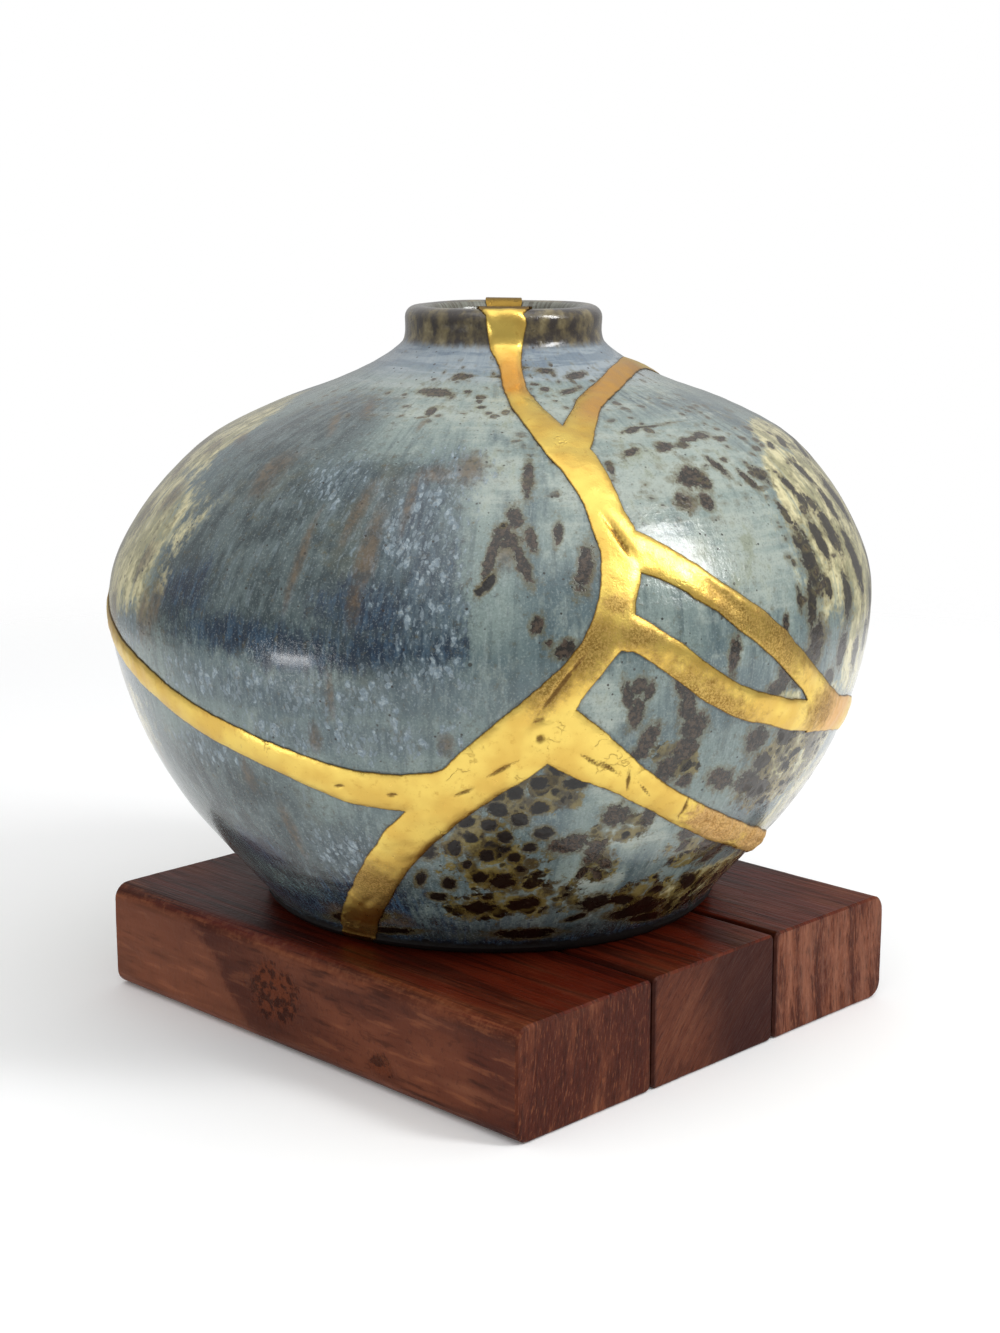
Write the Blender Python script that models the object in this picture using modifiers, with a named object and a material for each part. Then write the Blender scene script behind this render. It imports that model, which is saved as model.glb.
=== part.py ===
# A kintsugi vase: a thrown stoneware bottle, broken into seven shards, joined again
# with gold lacquer, and standing on a block of three glued planks.
# Units are metres, +Z is up, and the origin is under the vase's axis, on the
# underside of the block. The planks run along Y.

import math

import bmesh
import bpy
from mathutils import Matrix, Vector
from mathutils.bvhtree import BVHTree
from mathutils.geometry import intersect_line_line_2d

# Driving sizes of the vase
BELLY_RADIUS = 0.0800
BELLY_HEIGHT = 0.0625
FOOT_RADIUS = 0.0485
FOOT_EDGE = 0.0012
NECK_RADIUS = 0.0205
NECK_ROOT_RADIUS = 0.0218
VASE_HEIGHT = 0.1247
COLLAR_HEIGHT = 0.0083
NECK_BASE_HEIGHT = VASE_HEIGHT - COLLAR_HEIGHT
WALL = 0.0050
FLOOR = 0.0070
NECK_LEAN = 0.0028
VASE_TURN = math.radians(-45)
TURNING_STEPS = 48

# Driving sizes of the gold seams
GOLD_PROUD = 0.0005
GOLD_PROUD_INSIDE = 0.0003
SEAM_CLEARANCE = 0.0003
SEAM_ROOT_WIDTH = 0.0010
BLADE_MARGIN = 0.0040
BLADE_STEP = 0.0080

# Driving sizes of the wooden block
PLANK_WIDTH = 0.0375
PLANK_LENGTH = 0.1235
PLANK_THICKNESS = 0.0230
GLUE_GAP = 0.0003
OUTER_EDGE_ROUND = 0.0035
JOINT_EDGE_ROUND = 0.0014
END_EDGE_ROUND = 0.0005
BLOCK_CENTRE = (-0.0026, -0.0042)
REST_GAP = 0.0003

# How far up its straight part the collar reaches its own radius
COLLAR_FILLET = 0.4

# How the wall swells from foot to belly, and falls from belly to neck, as
# (share of the height, share of the change in radius)
LOWER_SWELL = (
    (0.0, 0.0), (0.023, 0.012), (0.083, 0.108), (0.206, 0.311), (0.369, 0.562), (0.573, 0.787), (0.796, 0.937),
    (1.0, 1.0),
)
SHOULDER_FALL = (
    (0.184, 0.016), (0.368, 0.097), (0.529, 0.210), (0.667, 0.350), (0.781, 0.558),
    (0.862, 0.762), (0.932, 0.905), (1.0, 1.0),
)

# Each seam runs over the vase as on a globe, seen from the middle of the belly:
# (longitude from the front in degrees, latitude in degrees, width in millimetres)
SEAMS = {
    "rim_to_foot": (
        (0, 86, 11.5), (0, 76, 11.2), (0.5, 71, 7.8), (2.3, 66.2, 5.2), (2.9, 61, 4.2), (4.2, 53.8, 4.6),
        (6.7, 46.9, 5.6), (9.8, 40.3, 6.6), (12.4, 35.5, 8.2), (14.2, 31, 7.6), (16.2, 24.8, 6.8),
        (17.7, 18.9, 7.6), (17.8, 14.5, 7.6), (16.9, 10.5, 7.0), (15.9, 6.6, 7.6), (13.6, 3.2, 6.8),
        (11, 0, 6.6), (8.6, -3, 8.4), (6.2, -7, 12.2), (2.7, -10.5, 12.2), (-1.4, -13.8, 11.0),
        (-5.6, -17.6, 10.0), (-9.4, -21.8, 8.8), (-13.8, -26.8, 8.4), (-19, -33.4, 7.8), (-24.1, -40.4, 7.6),
        (-29.5, -46.5, 7.6), (-34, -53, 7.0), (-32, -64, 5.0), (-10, -76, 4.0), (60, -84, 4.0), (80, -80, 4.0),
    ),
    "belt": (
        (-2, -14.4, 8.0), (-7, -16.5, 8.6), (-11.4, -17.0, 8.2), (-16, -17.0, 7.8), (-21, -16.4, 7.4),
        (-26, -14.9, 6.6), (-31.5, -13.3, 5.8), (-37, -11.8, 5.6), (-43.5, -10.1, 5.6), (-50.4, -8, 5.4),
        (-57.3, -5.9, 5.4), (-64.3, -4.1, 5.2), (-72, -2.2, 5.0), (-80, -0.6, 5.0), (-90, 1.6, 5.0), (-104, 4.5, 5.0),
        (-120, 4.5, 5.4), (-136, 1, 5.0), (-154, -3, 5.2), (-172, -3, 6.0), (-190, -5, 5.0), (-208, -5, 6.2), (-226, -10, 5.4),
        (-246, -16, 5.6), (-266, -17.5, 5.6), (-282, -15.5, 6.2), (-296, -12.4, 7.4), (-306, -10.6, 7.4),
    ),
    "upper_right": (
        (17.5, 17.5, 7.0), (20.5, 16.6, 7.2), (25, 14.2, 6.0), (30.5, 10.5, 5.6), (35.2, 7.1, 5.8),
        (40, 3.6, 5.8), (45, -0.3, 5.6), (50, -4.2, 5.4), (55, -8, 6.4), (61, -11.3, 6.4),
    ),
    "lower_right": (
        (15.6, 6.2, 7.0), (18.4, 5.6, 6.6), (21, 4.3, 5.8), (24.4, 2, 5.8), (28.4, -1, 5.8),
        (32.6, -3.8, 5.8), (37.6, -6.2, 5.8), (43.5, -8.2, 5.8), (50, -9.9, 6.2), (57, -11.3, 6.8),
    ),
    "shoulder_to_back": (
        (12.6, 35, 7.4), (16.2, 39.4, 6.2), (20.8, 45, 5.0), (26.4, 50, 4.8), (41, 56.3, 4.4), (60, 60.6, 4.4),
        (84, 61.5, 4.4), (108, 56, 4.4), (124, 45, 4.6), (134, 34, 4.8), (141, 20, 5.0), (148, 7, 5.2),
        (152, -5.5, 6.0),
    ),
    "rim_to_back": (
        (180, 86, 8.0), (180, 76, 8.0), (179, 70, 5.6), (180, 60, 4.4), (184, 46, 4.8), (188, 32, 5.0),
        (186, 18, 5.0), (187, 6, 5.2), (188, -4.5, 6.0),
    ),
    "front_to_side_of_foot": (
        (6.5, -5.5, 10.0), (10, -8.6, 11.2), (13.2, -11, 10.2), (17, -13.4, 8.4), (21, -16.2, 6.6),
        (26, -19.6, 5.8), (32, -23.2, 5.8), (39.6, -27.1, 6.0), (49, -31.3, 5.8), (60, -35.5, 5.6),
        (76, -41, 5.4), (92, -47, 5.2), (104, -53, 5.0), (104, -66, 4.4), (90, -77, 4.0), (64, -83.5, 4.0),
        (0, -84, 4.0),
    ),
    "back_to_foot": (
        (-130, 3.5, 6.0), (-128, -9, 5.2), (-134, -23, 5.0), (-137, -37, 5.0), (-132, -48, 5.2),
        (-130, -53, 5.2), (-134, -66, 4.4), (-150, -79, 4.0), (70, -85, 4.0), (64, -80, 4.0),
    ),
}

# A place on each shard, by longitude and latitude in degrees
SHARD_PLACES = {
    "shard_left_shoulder": (-60, 25),
    "shard_back_neck": (165, 40),
    "shard_right_shoulder": (75, 20),
    "shard_lens": (32, 3),
    "shard_right_flank": (70, -25),
    "shard_foot_front": (5, -35),
    "shard_left_flank": (-70, -25),
}

# Base colour, roughness and metallic value of each material
MATERIALS = {
    "glaze": ((0.20, 0.27, 0.30), 0.28, 0.0),
    "gold": ((0.83, 0.58, 0.16), 0.30, 1.0),
    "wood": ((0.19, 0.075, 0.045), 0.50, 0.0),
}


def clear_scene():
    for old in list(bpy.data.objects):
        bpy.data.objects.remove(old)


def new_collection(name, rendered=True):
    made = bpy.data.collections.new(name)
    made.hide_render = not rendered
    bpy.context.scene.collection.children.link(made)
    return made


def material(name):
    colour, roughness, metallic = MATERIALS[name]
    made = bpy.data.materials.new(name)
    made.use_nodes = True
    shader = made.node_tree.nodes["Principled BSDF"]
    shader.inputs["Base Color"].default_value = (*colour, 1.0)
    shader.inputs["Roughness"].default_value = roughness
    shader.inputs["Metallic"].default_value = metallic
    return made


def place_mesh(name, mesh, collection, finish=None):
    """A new object that holds the mesh, with its material."""
    made = bpy.data.objects.new(name, mesh)
    collection.objects.link(made)
    if finish:
        mesh.materials.append(finish)
    return made


def smooth_line(points, steps):
    """A Catmull-Rom line through the points, with this many steps between each two."""
    knots = [Vector(p) for p in points]
    knots = [2 * knots[0] - knots[1], *knots, 2 * knots[-1] - knots[-2]]
    line = []
    for before, start, end, after in zip(knots, knots[1:], knots[2:], knots[3:]):
        for step in range(steps):
            t = step / steps
            bend = 2 * before - 5 * start + 4 * end - after
            twist = 3 * start - before - 3 * end + after
            line.append(start + 0.5 * t * ((end - before) + t * (bend + t * twist)))
    return [*line, knots[-2]]


def offset_line(line, distance):
    """The line moved to its left by the distance, as for the other face of a wall."""
    moved = []
    for i, point in enumerate(line):
        along = (line[min(i + 1, len(line) - 1)] - line[max(i - 1, 0)]).normalized()
        moved.append(point + distance * Vector((-along.y, along.x)))
    return moved


def wall_line():
    """(radius, height) up the outside of the wall, from the foot to where the lip turns over."""
    stations = [
        (FOOT_RADIUS + share * (BELLY_RADIUS - FOOT_RADIUS), FOOT_EDGE + rise * (BELLY_HEIGHT - FOOT_EDGE))
        for rise, share in LOWER_SWELL
    ]
    stations += [
        (BELLY_RADIUS - share * (BELLY_RADIUS - NECK_ROOT_RADIUS),
         BELLY_HEIGHT + rise * (NECK_BASE_HEIGHT - BELLY_HEIGHT))
        for rise, share in SHOULDER_FALL
    ]
    upright = COLLAR_HEIGHT - WALL / 2
    stations += [(NECK_RADIUS, NECK_BASE_HEIGHT + COLLAR_FILLET * upright), (NECK_RADIUS, NECK_BASE_HEIGHT + upright)]
    return [Vector(s) for s in stations]


def lip_arc(outer_growth, inner_growth):
    """The rounded lip, from the outside of the neck over to its inside."""
    radius = (WALL + outer_growth + inner_growth) / 2
    middle = NECK_RADIUS + outer_growth - radius
    height = VASE_HEIGHT - WALL / 2 + (outer_growth + inner_growth) / 2 - inner_growth
    turns = [math.radians(a) for a in (30, 60, 90, 120, 150)]
    return [Vector((middle + radius * math.cos(a), height + radius * math.sin(a))) for a in turns]


def outer_line(growth=0.0):
    """The outside of the vase from the middle of its underside to the lip. The underside stays flat."""
    wall = offset_line(wall_line(), -growth)
    return [Vector((0, 0)), Vector((FOOT_RADIUS - FOOT_EDGE, 0)), *wall]


def inner_line(growth=0.0):
    """The inside of the vase from the lip down to the middle of its floor."""
    height = FLOOR + growth
    wall = [p for p in offset_line(wall_line(), WALL + growth) if p.y > height + FLOOR / 4]
    corner = Vector((wall[0].x - FLOOR / 4, height))
    return [*reversed(wall), corner, Vector((0, height))]


def turned_vessel(name, collection, outer_growth=0.0, inner_growth=0.0):
    """The vase turned as one hollow body, with its outside and inside grown by these amounts."""
    outline = outer_line(outer_growth) + lip_arc(outer_growth, inner_growth) + inner_line(inner_growth)
    outline.reverse()
    mesh = bpy.data.meshes.new(name)
    mesh.from_pydata([(p.x, 0, p.y) for p in outline], [(i, i + 1) for i in range(len(outline) - 1)], [])
    made = place_mesh(name, mesh, collection)
    made.hide_render = True
    made.display_type = "WIRE"
    screw = made.modifiers.new("turn", "SCREW")
    screw.steps = screw.render_steps = TURNING_STEPS
    screw.use_merge_vertices = True
    screw.merge_threshold = 0.00005
    return made


def globe_direction(longitude, latitude):
    """The direction from the middle of the belly. Longitude 0 is the front, which faces -Y."""
    lon, lat = math.radians(longitude), math.radians(latitude)
    return Vector((math.sin(lon) * math.cos(lat), -math.cos(lon) * math.cos(lat), math.sin(lat)))


def reach(direction, line):
    """How far from the middle of the belly a (radius, height) line is, this way. Over the open mouth
    it is the distance to the height of the lip."""
    start = Vector((0, BELLY_HEIGHT))
    slope = Vector((math.hypot(direction.x, direction.y), direction.z))
    far = start + slope * (2 * (BELLY_RADIUS + VASE_HEIGHT))
    crossings = [intersect_line_line_2d(start, far, a, b) for a, b in zip(line, line[1:])]
    found = [(c - start).length for c in crossings if c]
    return max(found) if found else (VASE_HEIGHT - BELLY_HEIGHT) / max(direction.z, 0.1)


def seam_stations(points):
    """(direction, half-width) along a seam, at even steps."""
    knots = [(*globe_direction(lon, lat), width / 2000) for lon, lat, width in points]
    line = smooth_line([Vector(k) for k in knots], 12)
    stations = [line[0]]
    for point in line[1:]:
        gone = (point.xyz.normalized() - stations[-1].xyz.normalized()).length * BELLY_RADIUS
        if gone >= BLADE_STEP or point is line[-1]:
            stations.append(point)
    return [(s.xyz.normalized(), s.w) for s in stations]


def seam_blade(name, points, clearance, collection):
    """A blade that follows a seam right through the wall. It is the seam's width at the glaze, and
    narrows inwards to its root."""
    outside, inside = outer_line(), inner_line()
    stations = seam_stations(points)
    shape = bmesh.new()
    rings = []
    for i, (direction, half) in enumerate(stations):
        along = stations[min(i + 1, len(stations) - 1)][0] - stations[max(i - 1, 0)][0]
        across = direction.cross(along).normalized()
        glaze = reach(direction, outside)
        root = min(reach(direction, inside), glaze - WALL) - BLADE_MARGIN
        crest = glaze + BLADE_MARGIN
        root_half = SEAM_ROOT_WIDTH / 2
        crest_half = root_half + (half - root_half) * (crest - root) / (glaze - root)
        middle = Vector((0, 0, BELLY_HEIGHT))
        corners = (
            (root, root_half + clearance), (crest, crest_half + clearance),
            (crest, -crest_half - clearance), (root, -root_half - clearance),
        )
        rings.append([shape.verts.new(middle + far * direction + side * across) for far, side in corners])
    for ring, following in zip(rings, rings[1:]):
        for k in range(4):
            shape.faces.new((ring[k], ring[(k + 1) % 4], following[(k + 1) % 4], following[k]))
    shape.faces.new(rings[0])
    shape.faces.new(rings[-1])
    bmesh.ops.triangulate(shape, faces=shape.faces)
    bmesh.ops.recalc_face_normals(shape, faces=shape.faces)
    mesh = bpy.data.meshes.new(name)
    shape.to_mesh(mesh)
    shape.free()
    made = place_mesh(name, mesh, collection)
    made.hide_render = True
    made.display_type = "WIRE"
    return made


def add_boolean(target, operation, tool):
    step = target.modifiers.new(operation.lower(), "BOOLEAN")
    step.operation = operation
    step.solver = "EXACT"
    step.object = tool


def seam_network(name, clearance, collection):
    """All the blades as one."""
    blades = [seam_blade(f"{name}_{seam}", points, clearance, collection) for seam, points in SEAMS.items()]
    for other in blades[1:]:
        add_boolean(blades[0], "UNION", other)
    return blades[0]


def lean(point):
    """The thrower's hand left the neck a little off the belly's axis, towards the right of the front."""
    share = (point.z - BELLY_HEIGHT) / (NECK_BASE_HEIGHT - BELLY_HEIGHT)
    share = min(max(share, 0.0), 1.0)
    return Vector((NECK_LEAN * share * share * (3 - 2 * share), 0, 0))


def settled_bmesh(source):
    """The object's evaluated mesh in triangles, so that its faces stay flat, with the lean."""
    graph = bpy.context.evaluated_depsgraph_get()
    shape = bmesh.new()
    shape.from_mesh(bpy.data.meshes.new_from_object(source.evaluated_get(graph)))
    bmesh.ops.triangulate(shape, faces=shape.faces)
    for vert in shape.verts:
        vert.co += lean(vert.co)
    return shape


def mesh_from(shape, name):
    """A mesh, shaded smooth but for its edges."""
    mesh = bpy.data.meshes.new(name)
    shape.to_mesh(mesh)
    shape.free()
    mesh.shade_smooth()
    mesh.set_sharp_from_angle(angle=math.radians(40))
    return mesh


def islands(shape):
    """The faces of each loose piece of a bmesh."""
    left = set(shape.faces)
    found = []
    while left:
        island, edge_of_search = set(), [left.pop()]
        while edge_of_search:
            face = edge_of_search.pop()
            island.add(face)
            near = {other for edge in face.edges for other in edge.link_faces} & left
            left -= near
            edge_of_search.extend(near)
        found.append(island)
    return found


def shards(body, collection, finish, stand):
    """Each loose piece of the cut body as its own object, named by the place that it covers. Crumbs that
    cover none of the places are left out."""
    whole = settled_bmesh(body)
    pieces = []
    for island in islands(whole):
        piece = whole.copy()
        kept = {face.index for face in island}
        piece.faces.ensure_lookup_table()
        bmesh.ops.delete(piece, geom=[f for f in piece.faces if f.index not in kept], context="FACES")
        pieces.append(piece)
    outside = outer_line()
    for name, (longitude, latitude) in SHARD_PLACES.items():
        direction = globe_direction(longitude, latitude)
        place = Vector((0, 0, BELLY_HEIGHT)) + reach(direction, outside) * direction
        place += lean(place)
        nearest = min(pieces, key=lambda p: BVHTree.FromBMesh(p).find_nearest(place)[3])
        pieces.remove(nearest)
        made = place_mesh(name, mesh_from(nearest, name), collection, finish)
        made.parent = stand


def gold_seams(skin, collection, finish, stand):
    made = place_mesh("gold_seams", mesh_from(settled_bmesh(skin), "gold_seams"), collection, finish)
    made.parent = stand


def plank(name, low_x, low_round, high_round, collection, finish):
    """A plank along Y with its long edges rounded, each side by its own radius, and eased ends."""
    size = Vector((PLANK_WIDTH, PLANK_LENGTH - 2 * END_EDGE_ROUND, PLANK_THICKNESS))
    shape = bmesh.new()
    bmesh.ops.create_cube(shape, size=1.0, matrix=Matrix.Diagonal((*size, 1.0)))
    for side, radius in ((-1, low_round), (1, high_round)):
        long_edges = [
            e for e in shape.edges
            if all(v.co.x * side > size.x / 2 - 1e-6 for v in e.verts)
            and abs(e.verts[0].co.y - e.verts[1].co.y) > size.y / 2
        ]
        bmesh.ops.bevel(shape, geom=long_edges, offset=radius, segments=4, profile=0.5, affect="EDGES")
    shape.normal_update()
    ends = [f for f in shape.faces if abs(f.normal.y) > 0.9]
    bmesh.ops.inset_region(
        shape, faces=ends, thickness=END_EDGE_ROUND, depth=END_EDGE_ROUND, use_even_offset=True
    )
    made = place_mesh(name, mesh_from(shape, name), collection, finish)
    made.location = (low_x + PLANK_WIDTH / 2, BLOCK_CENTRE[1], PLANK_THICKNESS / 2)


def block(collection, finish):
    """Three planks side by side, with a glue line between them."""
    step = PLANK_WIDTH + GLUE_GAP
    low = BLOCK_CENTRE[0] - (3 * PLANK_WIDTH + 2 * GLUE_GAP) / 2
    plank("plank_left", low, OUTER_EDGE_ROUND, JOINT_EDGE_ROUND, collection, finish)
    plank("plank_middle", low + step, JOINT_EDGE_ROUND, JOINT_EDGE_ROUND, collection, finish)
    plank("plank_right", low + 2 * step, JOINT_EDGE_ROUND, OUTER_EDGE_ROUND, collection, finish)


def main():
    clear_scene()
    work = new_collection("kintsugi_vase")
    tools = new_collection("cutters", rendered=False)
    glaze, gold, wood = (material(name) for name in MATERIALS)

    block(work, wood)

    stand = bpy.data.objects.new("vase_place", None)
    stand.location = (0, 0, PLANK_THICKNESS + REST_GAP)
    stand.rotation_euler = (0, 0, VASE_TURN)
    work.objects.link(stand)

    body = turned_vessel("thrown_body", tools)
    add_boolean(body, "DIFFERENCE", seam_network("break", SEAM_CLEARANCE, tools))
    shards(body, work, glaze, stand)

    skin = turned_vessel("lacquer_skin", tools, GOLD_PROUD, GOLD_PROUD_INSIDE)
    add_boolean(skin, "INTERSECT", seam_network("seam", 0.0, tools))
    gold_seams(skin, work, gold, stand)


main()
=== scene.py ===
# The looks of the kintsugi vase: a thrown stoneware bottle in seven shards, joined with
# gold lacquer, on a block of three oiled planks. Units are metres and +Z is up.
import math

import bmesh
import bpy
import numpy as np
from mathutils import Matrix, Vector, noise
from mathutils.geometry import intersect_line_line_2d
from mathutils.kdtree import KDTree


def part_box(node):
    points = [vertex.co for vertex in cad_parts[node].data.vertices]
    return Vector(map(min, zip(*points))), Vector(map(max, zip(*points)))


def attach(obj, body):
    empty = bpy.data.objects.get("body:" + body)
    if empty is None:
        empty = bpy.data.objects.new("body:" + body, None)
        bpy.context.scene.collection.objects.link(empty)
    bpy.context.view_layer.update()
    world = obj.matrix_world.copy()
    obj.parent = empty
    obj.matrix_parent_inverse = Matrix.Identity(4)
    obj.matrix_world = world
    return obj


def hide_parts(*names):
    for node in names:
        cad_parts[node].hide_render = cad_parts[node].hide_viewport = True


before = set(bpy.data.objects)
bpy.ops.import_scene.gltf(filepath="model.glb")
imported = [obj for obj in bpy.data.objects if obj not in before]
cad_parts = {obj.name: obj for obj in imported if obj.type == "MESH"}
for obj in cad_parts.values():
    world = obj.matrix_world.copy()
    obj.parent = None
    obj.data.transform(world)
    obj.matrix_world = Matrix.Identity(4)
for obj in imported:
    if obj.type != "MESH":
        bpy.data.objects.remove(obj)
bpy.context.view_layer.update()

MM = 0.001

# The vase's sizes, in its own frame: the front faces -Y and the foot stands at height 0
BELLY_RADIUS = 0.0800
BELLY_HEIGHT = 0.0625
FOOT_RADIUS = 0.0485
FOOT_EDGE = 0.0012
NECK_RADIUS = 0.0205
NECK_ROOT_RADIUS = 0.0218
VASE_HEIGHT = 0.1247
COLLAR_HEIGHT = 0.0083
COLLAR_FILLET = 0.4
NECK_BASE_HEIGHT = VASE_HEIGHT - COLLAR_HEIGHT
WALL = 0.0050
FLOOR = 0.0070
NECK_LEAN = 0.0028
VASE_TURN = math.radians(-45)
REST_GAP = 0.0003

# How finely the vessel and its gold are turned
GLAZE_TURNS = 620
GLAZE_STEP = 0.8 * MM
GOLD_TURNS = 880
GOLD_STEP = 0.52 * MM
INSIDE_STEP = 3.0 * MM
# How many of the rounded lip's points lead up to its top
LIP_TOP = 6
# How deep in the wall the relief of its outside dies out, and where the inside's colour starts
RELIEF_DEPTH = 2 * MM
INSIDE_DEPTH = 1.5 * MM
# Up to how many degrees two faces are shaded as one
GLAZE_BEND, GOLD_BEND, WOOD_BEND = 40, 60, 35

# The gold: how proud its skin is turned, how far it laps over the glaze, and how its edges wander
GOLD_PROUD = 0.0005
GOLD_PROUD_INSIDE = 0.0001
GOLD_LAP = 0.0002
SEAM_ROOT_WIDTH = 0.0010
BLADE_MARGIN = 0.0040
BLADE_STEP = 1.5 * MM
SEAM_STEP = 0.006
EDGE_WANDER = 0.32 * MM
EDGE_RAG = 0.14 * MM
GOLD_EDGE_DROP = 0.32 * MM
GOLD_CROWN = 0.12 * MM
GOLD_SHOULDER = 0.9 * MM
# The crumbs of its rough tan end: how high they stand, where they are cut off and how far they sink
CRUMB_HEIGHT = 2.3 * MM
CRUMB_TOP = 0.8 * MM
CRUMB_SINK = 0.2 * MM

# How the wall swells from foot to belly, and falls from belly to neck, as
# (share of the height, share of the change in radius)
LOWER_SWELL = (
    (0.0, 0.0), (0.023, 0.012), (0.083, 0.108), (0.206, 0.311),
    (0.369, 0.562), (0.573, 0.787), (0.796, 0.937), (1.0, 1.0),
)
SHOULDER_FALL = (
    (0.184, 0.016), (0.368, 0.097), (0.529, 0.210), (0.667, 0.350), (0.781, 0.558),
    (0.862, 0.762), (0.932, 0.905), (1.0, 1.0),
)

# Each seam runs over the vase as on a globe, seen from the middle of the belly:
# (longitude from the front in degrees, latitude in degrees, width in millimetres)
SEAMS = {
    "rim_to_foot": (
        (0, 86, 11.5), (0, 76, 11.2), (0.5, 71, 7.8), (2.3, 66.2, 5.2), (2.9, 61, 4.2), (4.2, 53.8, 4.6),
        (6.7, 46.9, 5.6), (9.8, 40.3, 6.6), (12.4, 35.5, 8.2), (14.2, 31, 7.6), (16.2, 24.8, 6.8),
        (17.7, 18.9, 7.6), (17.8, 14.5, 7.6), (16.9, 10.5, 7.0), (15.9, 6.6, 7.6), (13.6, 3.2, 6.8),
        (11, 0, 6.6), (8.6, -3, 8.4), (6.2, -7, 12.2), (2.7, -10.5, 12.2), (-1.4, -13.8, 11.0),
        (-5.6, -17.6, 10.0), (-9.4, -21.8, 8.8), (-13.8, -26.8, 8.4), (-19, -33.4, 7.8),
        (-24.1, -40.4, 7.6), (-29.5, -46.5, 7.6), (-34, -53, 7.0), (-32, -64, 5.0), (-10, -76, 4.0),
        (60, -84, 4.0), (80, -80, 4.0),
    ),
    "belt": (
        (-2, -14.4, 8.0), (-7, -16.5, 8.6), (-11.4, -17.0, 8.2), (-16, -17.0, 7.8), (-21, -16.4, 7.4),
        (-26, -14.9, 6.6), (-31.5, -13.3, 5.8), (-37, -11.8, 5.6), (-43.5, -10.1, 5.6), (-50.4, -8, 5.4),
        (-57.3, -5.9, 5.4), (-64.3, -4.1, 5.2), (-72, -2.2, 5.0), (-80, -0.6, 5.0), (-90, 1.6, 5.0),
        (-104, 4.5, 5.0), (-120, 4.5, 5.4), (-136, 1, 5.0), (-154, -3, 5.2), (-172, -3, 6.0),
        (-190, -5, 5.0), (-208, -5, 6.2), (-226, -10, 5.4), (-246, -16, 5.6), (-266, -17.5, 5.6),
        (-282, -15.5, 6.2), (-296, -12.4, 7.4), (-306, -10.6, 7.4),
    ),
    "upper_right": (
        (17.5, 17.5, 7.0), (20.5, 16.6, 7.2), (25, 14.2, 6.0), (30.5, 10.5, 5.6), (35.2, 7.1, 5.8),
        (40, 3.6, 5.8), (45, -0.3, 5.6), (50, -4.2, 5.4), (55, -8, 6.4), (61, -11.3, 6.4),
    ),
    "lower_right": (
        (15.6, 6.2, 7.0), (18.4, 5.6, 6.6), (21, 4.3, 5.8), (24.4, 2, 5.8), (28.4, -1, 5.8),
        (32.6, -3.8, 5.8), (37.6, -6.2, 5.8), (43.5, -8.2, 5.8), (50, -9.9, 6.2), (57, -11.3, 6.8),
    ),
    "shoulder_to_back": (
        (12.6, 35, 7.4), (16.2, 39.4, 6.2), (20.8, 45, 5.0), (26.4, 50, 4.8), (41, 56.3, 4.4),
        (60, 60.6, 4.4), (84, 61.5, 4.4), (108, 56, 4.4), (124, 45, 4.6), (134, 34, 4.8), (141, 20, 5.0),
        (148, 7, 5.2), (152, -5.5, 6.0),
    ),
    "rim_to_back": (
        (180, 86, 8.0), (180, 76, 8.0), (179, 70, 5.6), (180, 60, 4.4), (184, 46, 4.8), (188, 32, 5.0),
        (186, 18, 5.0), (187, 6, 5.2), (188, -4.5, 6.0),
    ),
    "front_to_side_of_foot": (
        (6.5, -5.5, 10.0), (10, -8.6, 11.2), (13.2, -11, 10.2), (17, -13.4, 8.4), (21, -16.2, 6.6),
        (26, -19.6, 5.8), (32, -23.2, 5.8), (39.6, -27.1, 6.0), (49, -31.3, 5.8), (60, -35.5, 5.6),
        (76, -41, 5.4), (92, -47, 5.2), (104, -53, 5.0), (104, -66, 4.4), (90, -77, 4.0),
        (64, -83.5, 4.0), (0, -84, 4.0),
    ),
    "back_to_foot": (
        (-130, 3.5, 6.0), (-128, -9, 5.2), (-134, -23, 5.0), (-137, -37, 5.0), (-132, -48, 5.2),
        (-130, -53, 5.2), (-134, -66, 4.4), (-150, -79, 4.0), (70, -85, 4.0), (64, -80, 4.0),
    ),
}

# A place on each shard, by longitude and latitude in degrees
SHARD_PLACES = {
    "shard_left_shoulder": (-60, 25),
    "shard_back_neck": (165, 40),
    "shard_right_shoulder": (75, 20),
    "shard_lens": (32, 3),
    "shard_right_flank": (70, -25),
    "shard_foot_front": (5, -35),
    "shard_left_flank": (-70, -25),
}


def deselect():
    for chosen in list(bpy.context.selected_objects):
        chosen.select_set(False)


def pick(piece):
    deselect()
    piece.select_set(True)
    bpy.context.view_layer.objects.active = piece


def smooth_line(points, step):
    """A Catmull-Rom line through the points, with a point about every step."""
    knots = [Vector(p) for p in points]
    knots = [2 * knots[0] - knots[1], *knots, 2 * knots[-1] - knots[-2]]
    line = []
    for before, start, end, after in zip(knots, knots[1:], knots[2:], knots[3:]):
        parts = max(round((end - start).length / step), 1)
        for part in range(parts):
            t = part / parts
            bend = 2 * before - 5 * start + 4 * end - after
            twist = 3 * start - before - 3 * end + after
            line.append(start + 0.5 * t * ((end - before) + t * (bend + t * twist)))
    return [*line, knots[-2]]


def offset_line(line, distance):
    """The line moved to its left by the distance, as for the other face of a wall."""
    moved = []
    for i, point in enumerate(line):
        along = (line[min(i + 1, len(line) - 1)] - line[max(i - 1, 0)]).normalized()
        moved.append(point + distance * Vector((-along.y, along.x)))
    return moved


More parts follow.
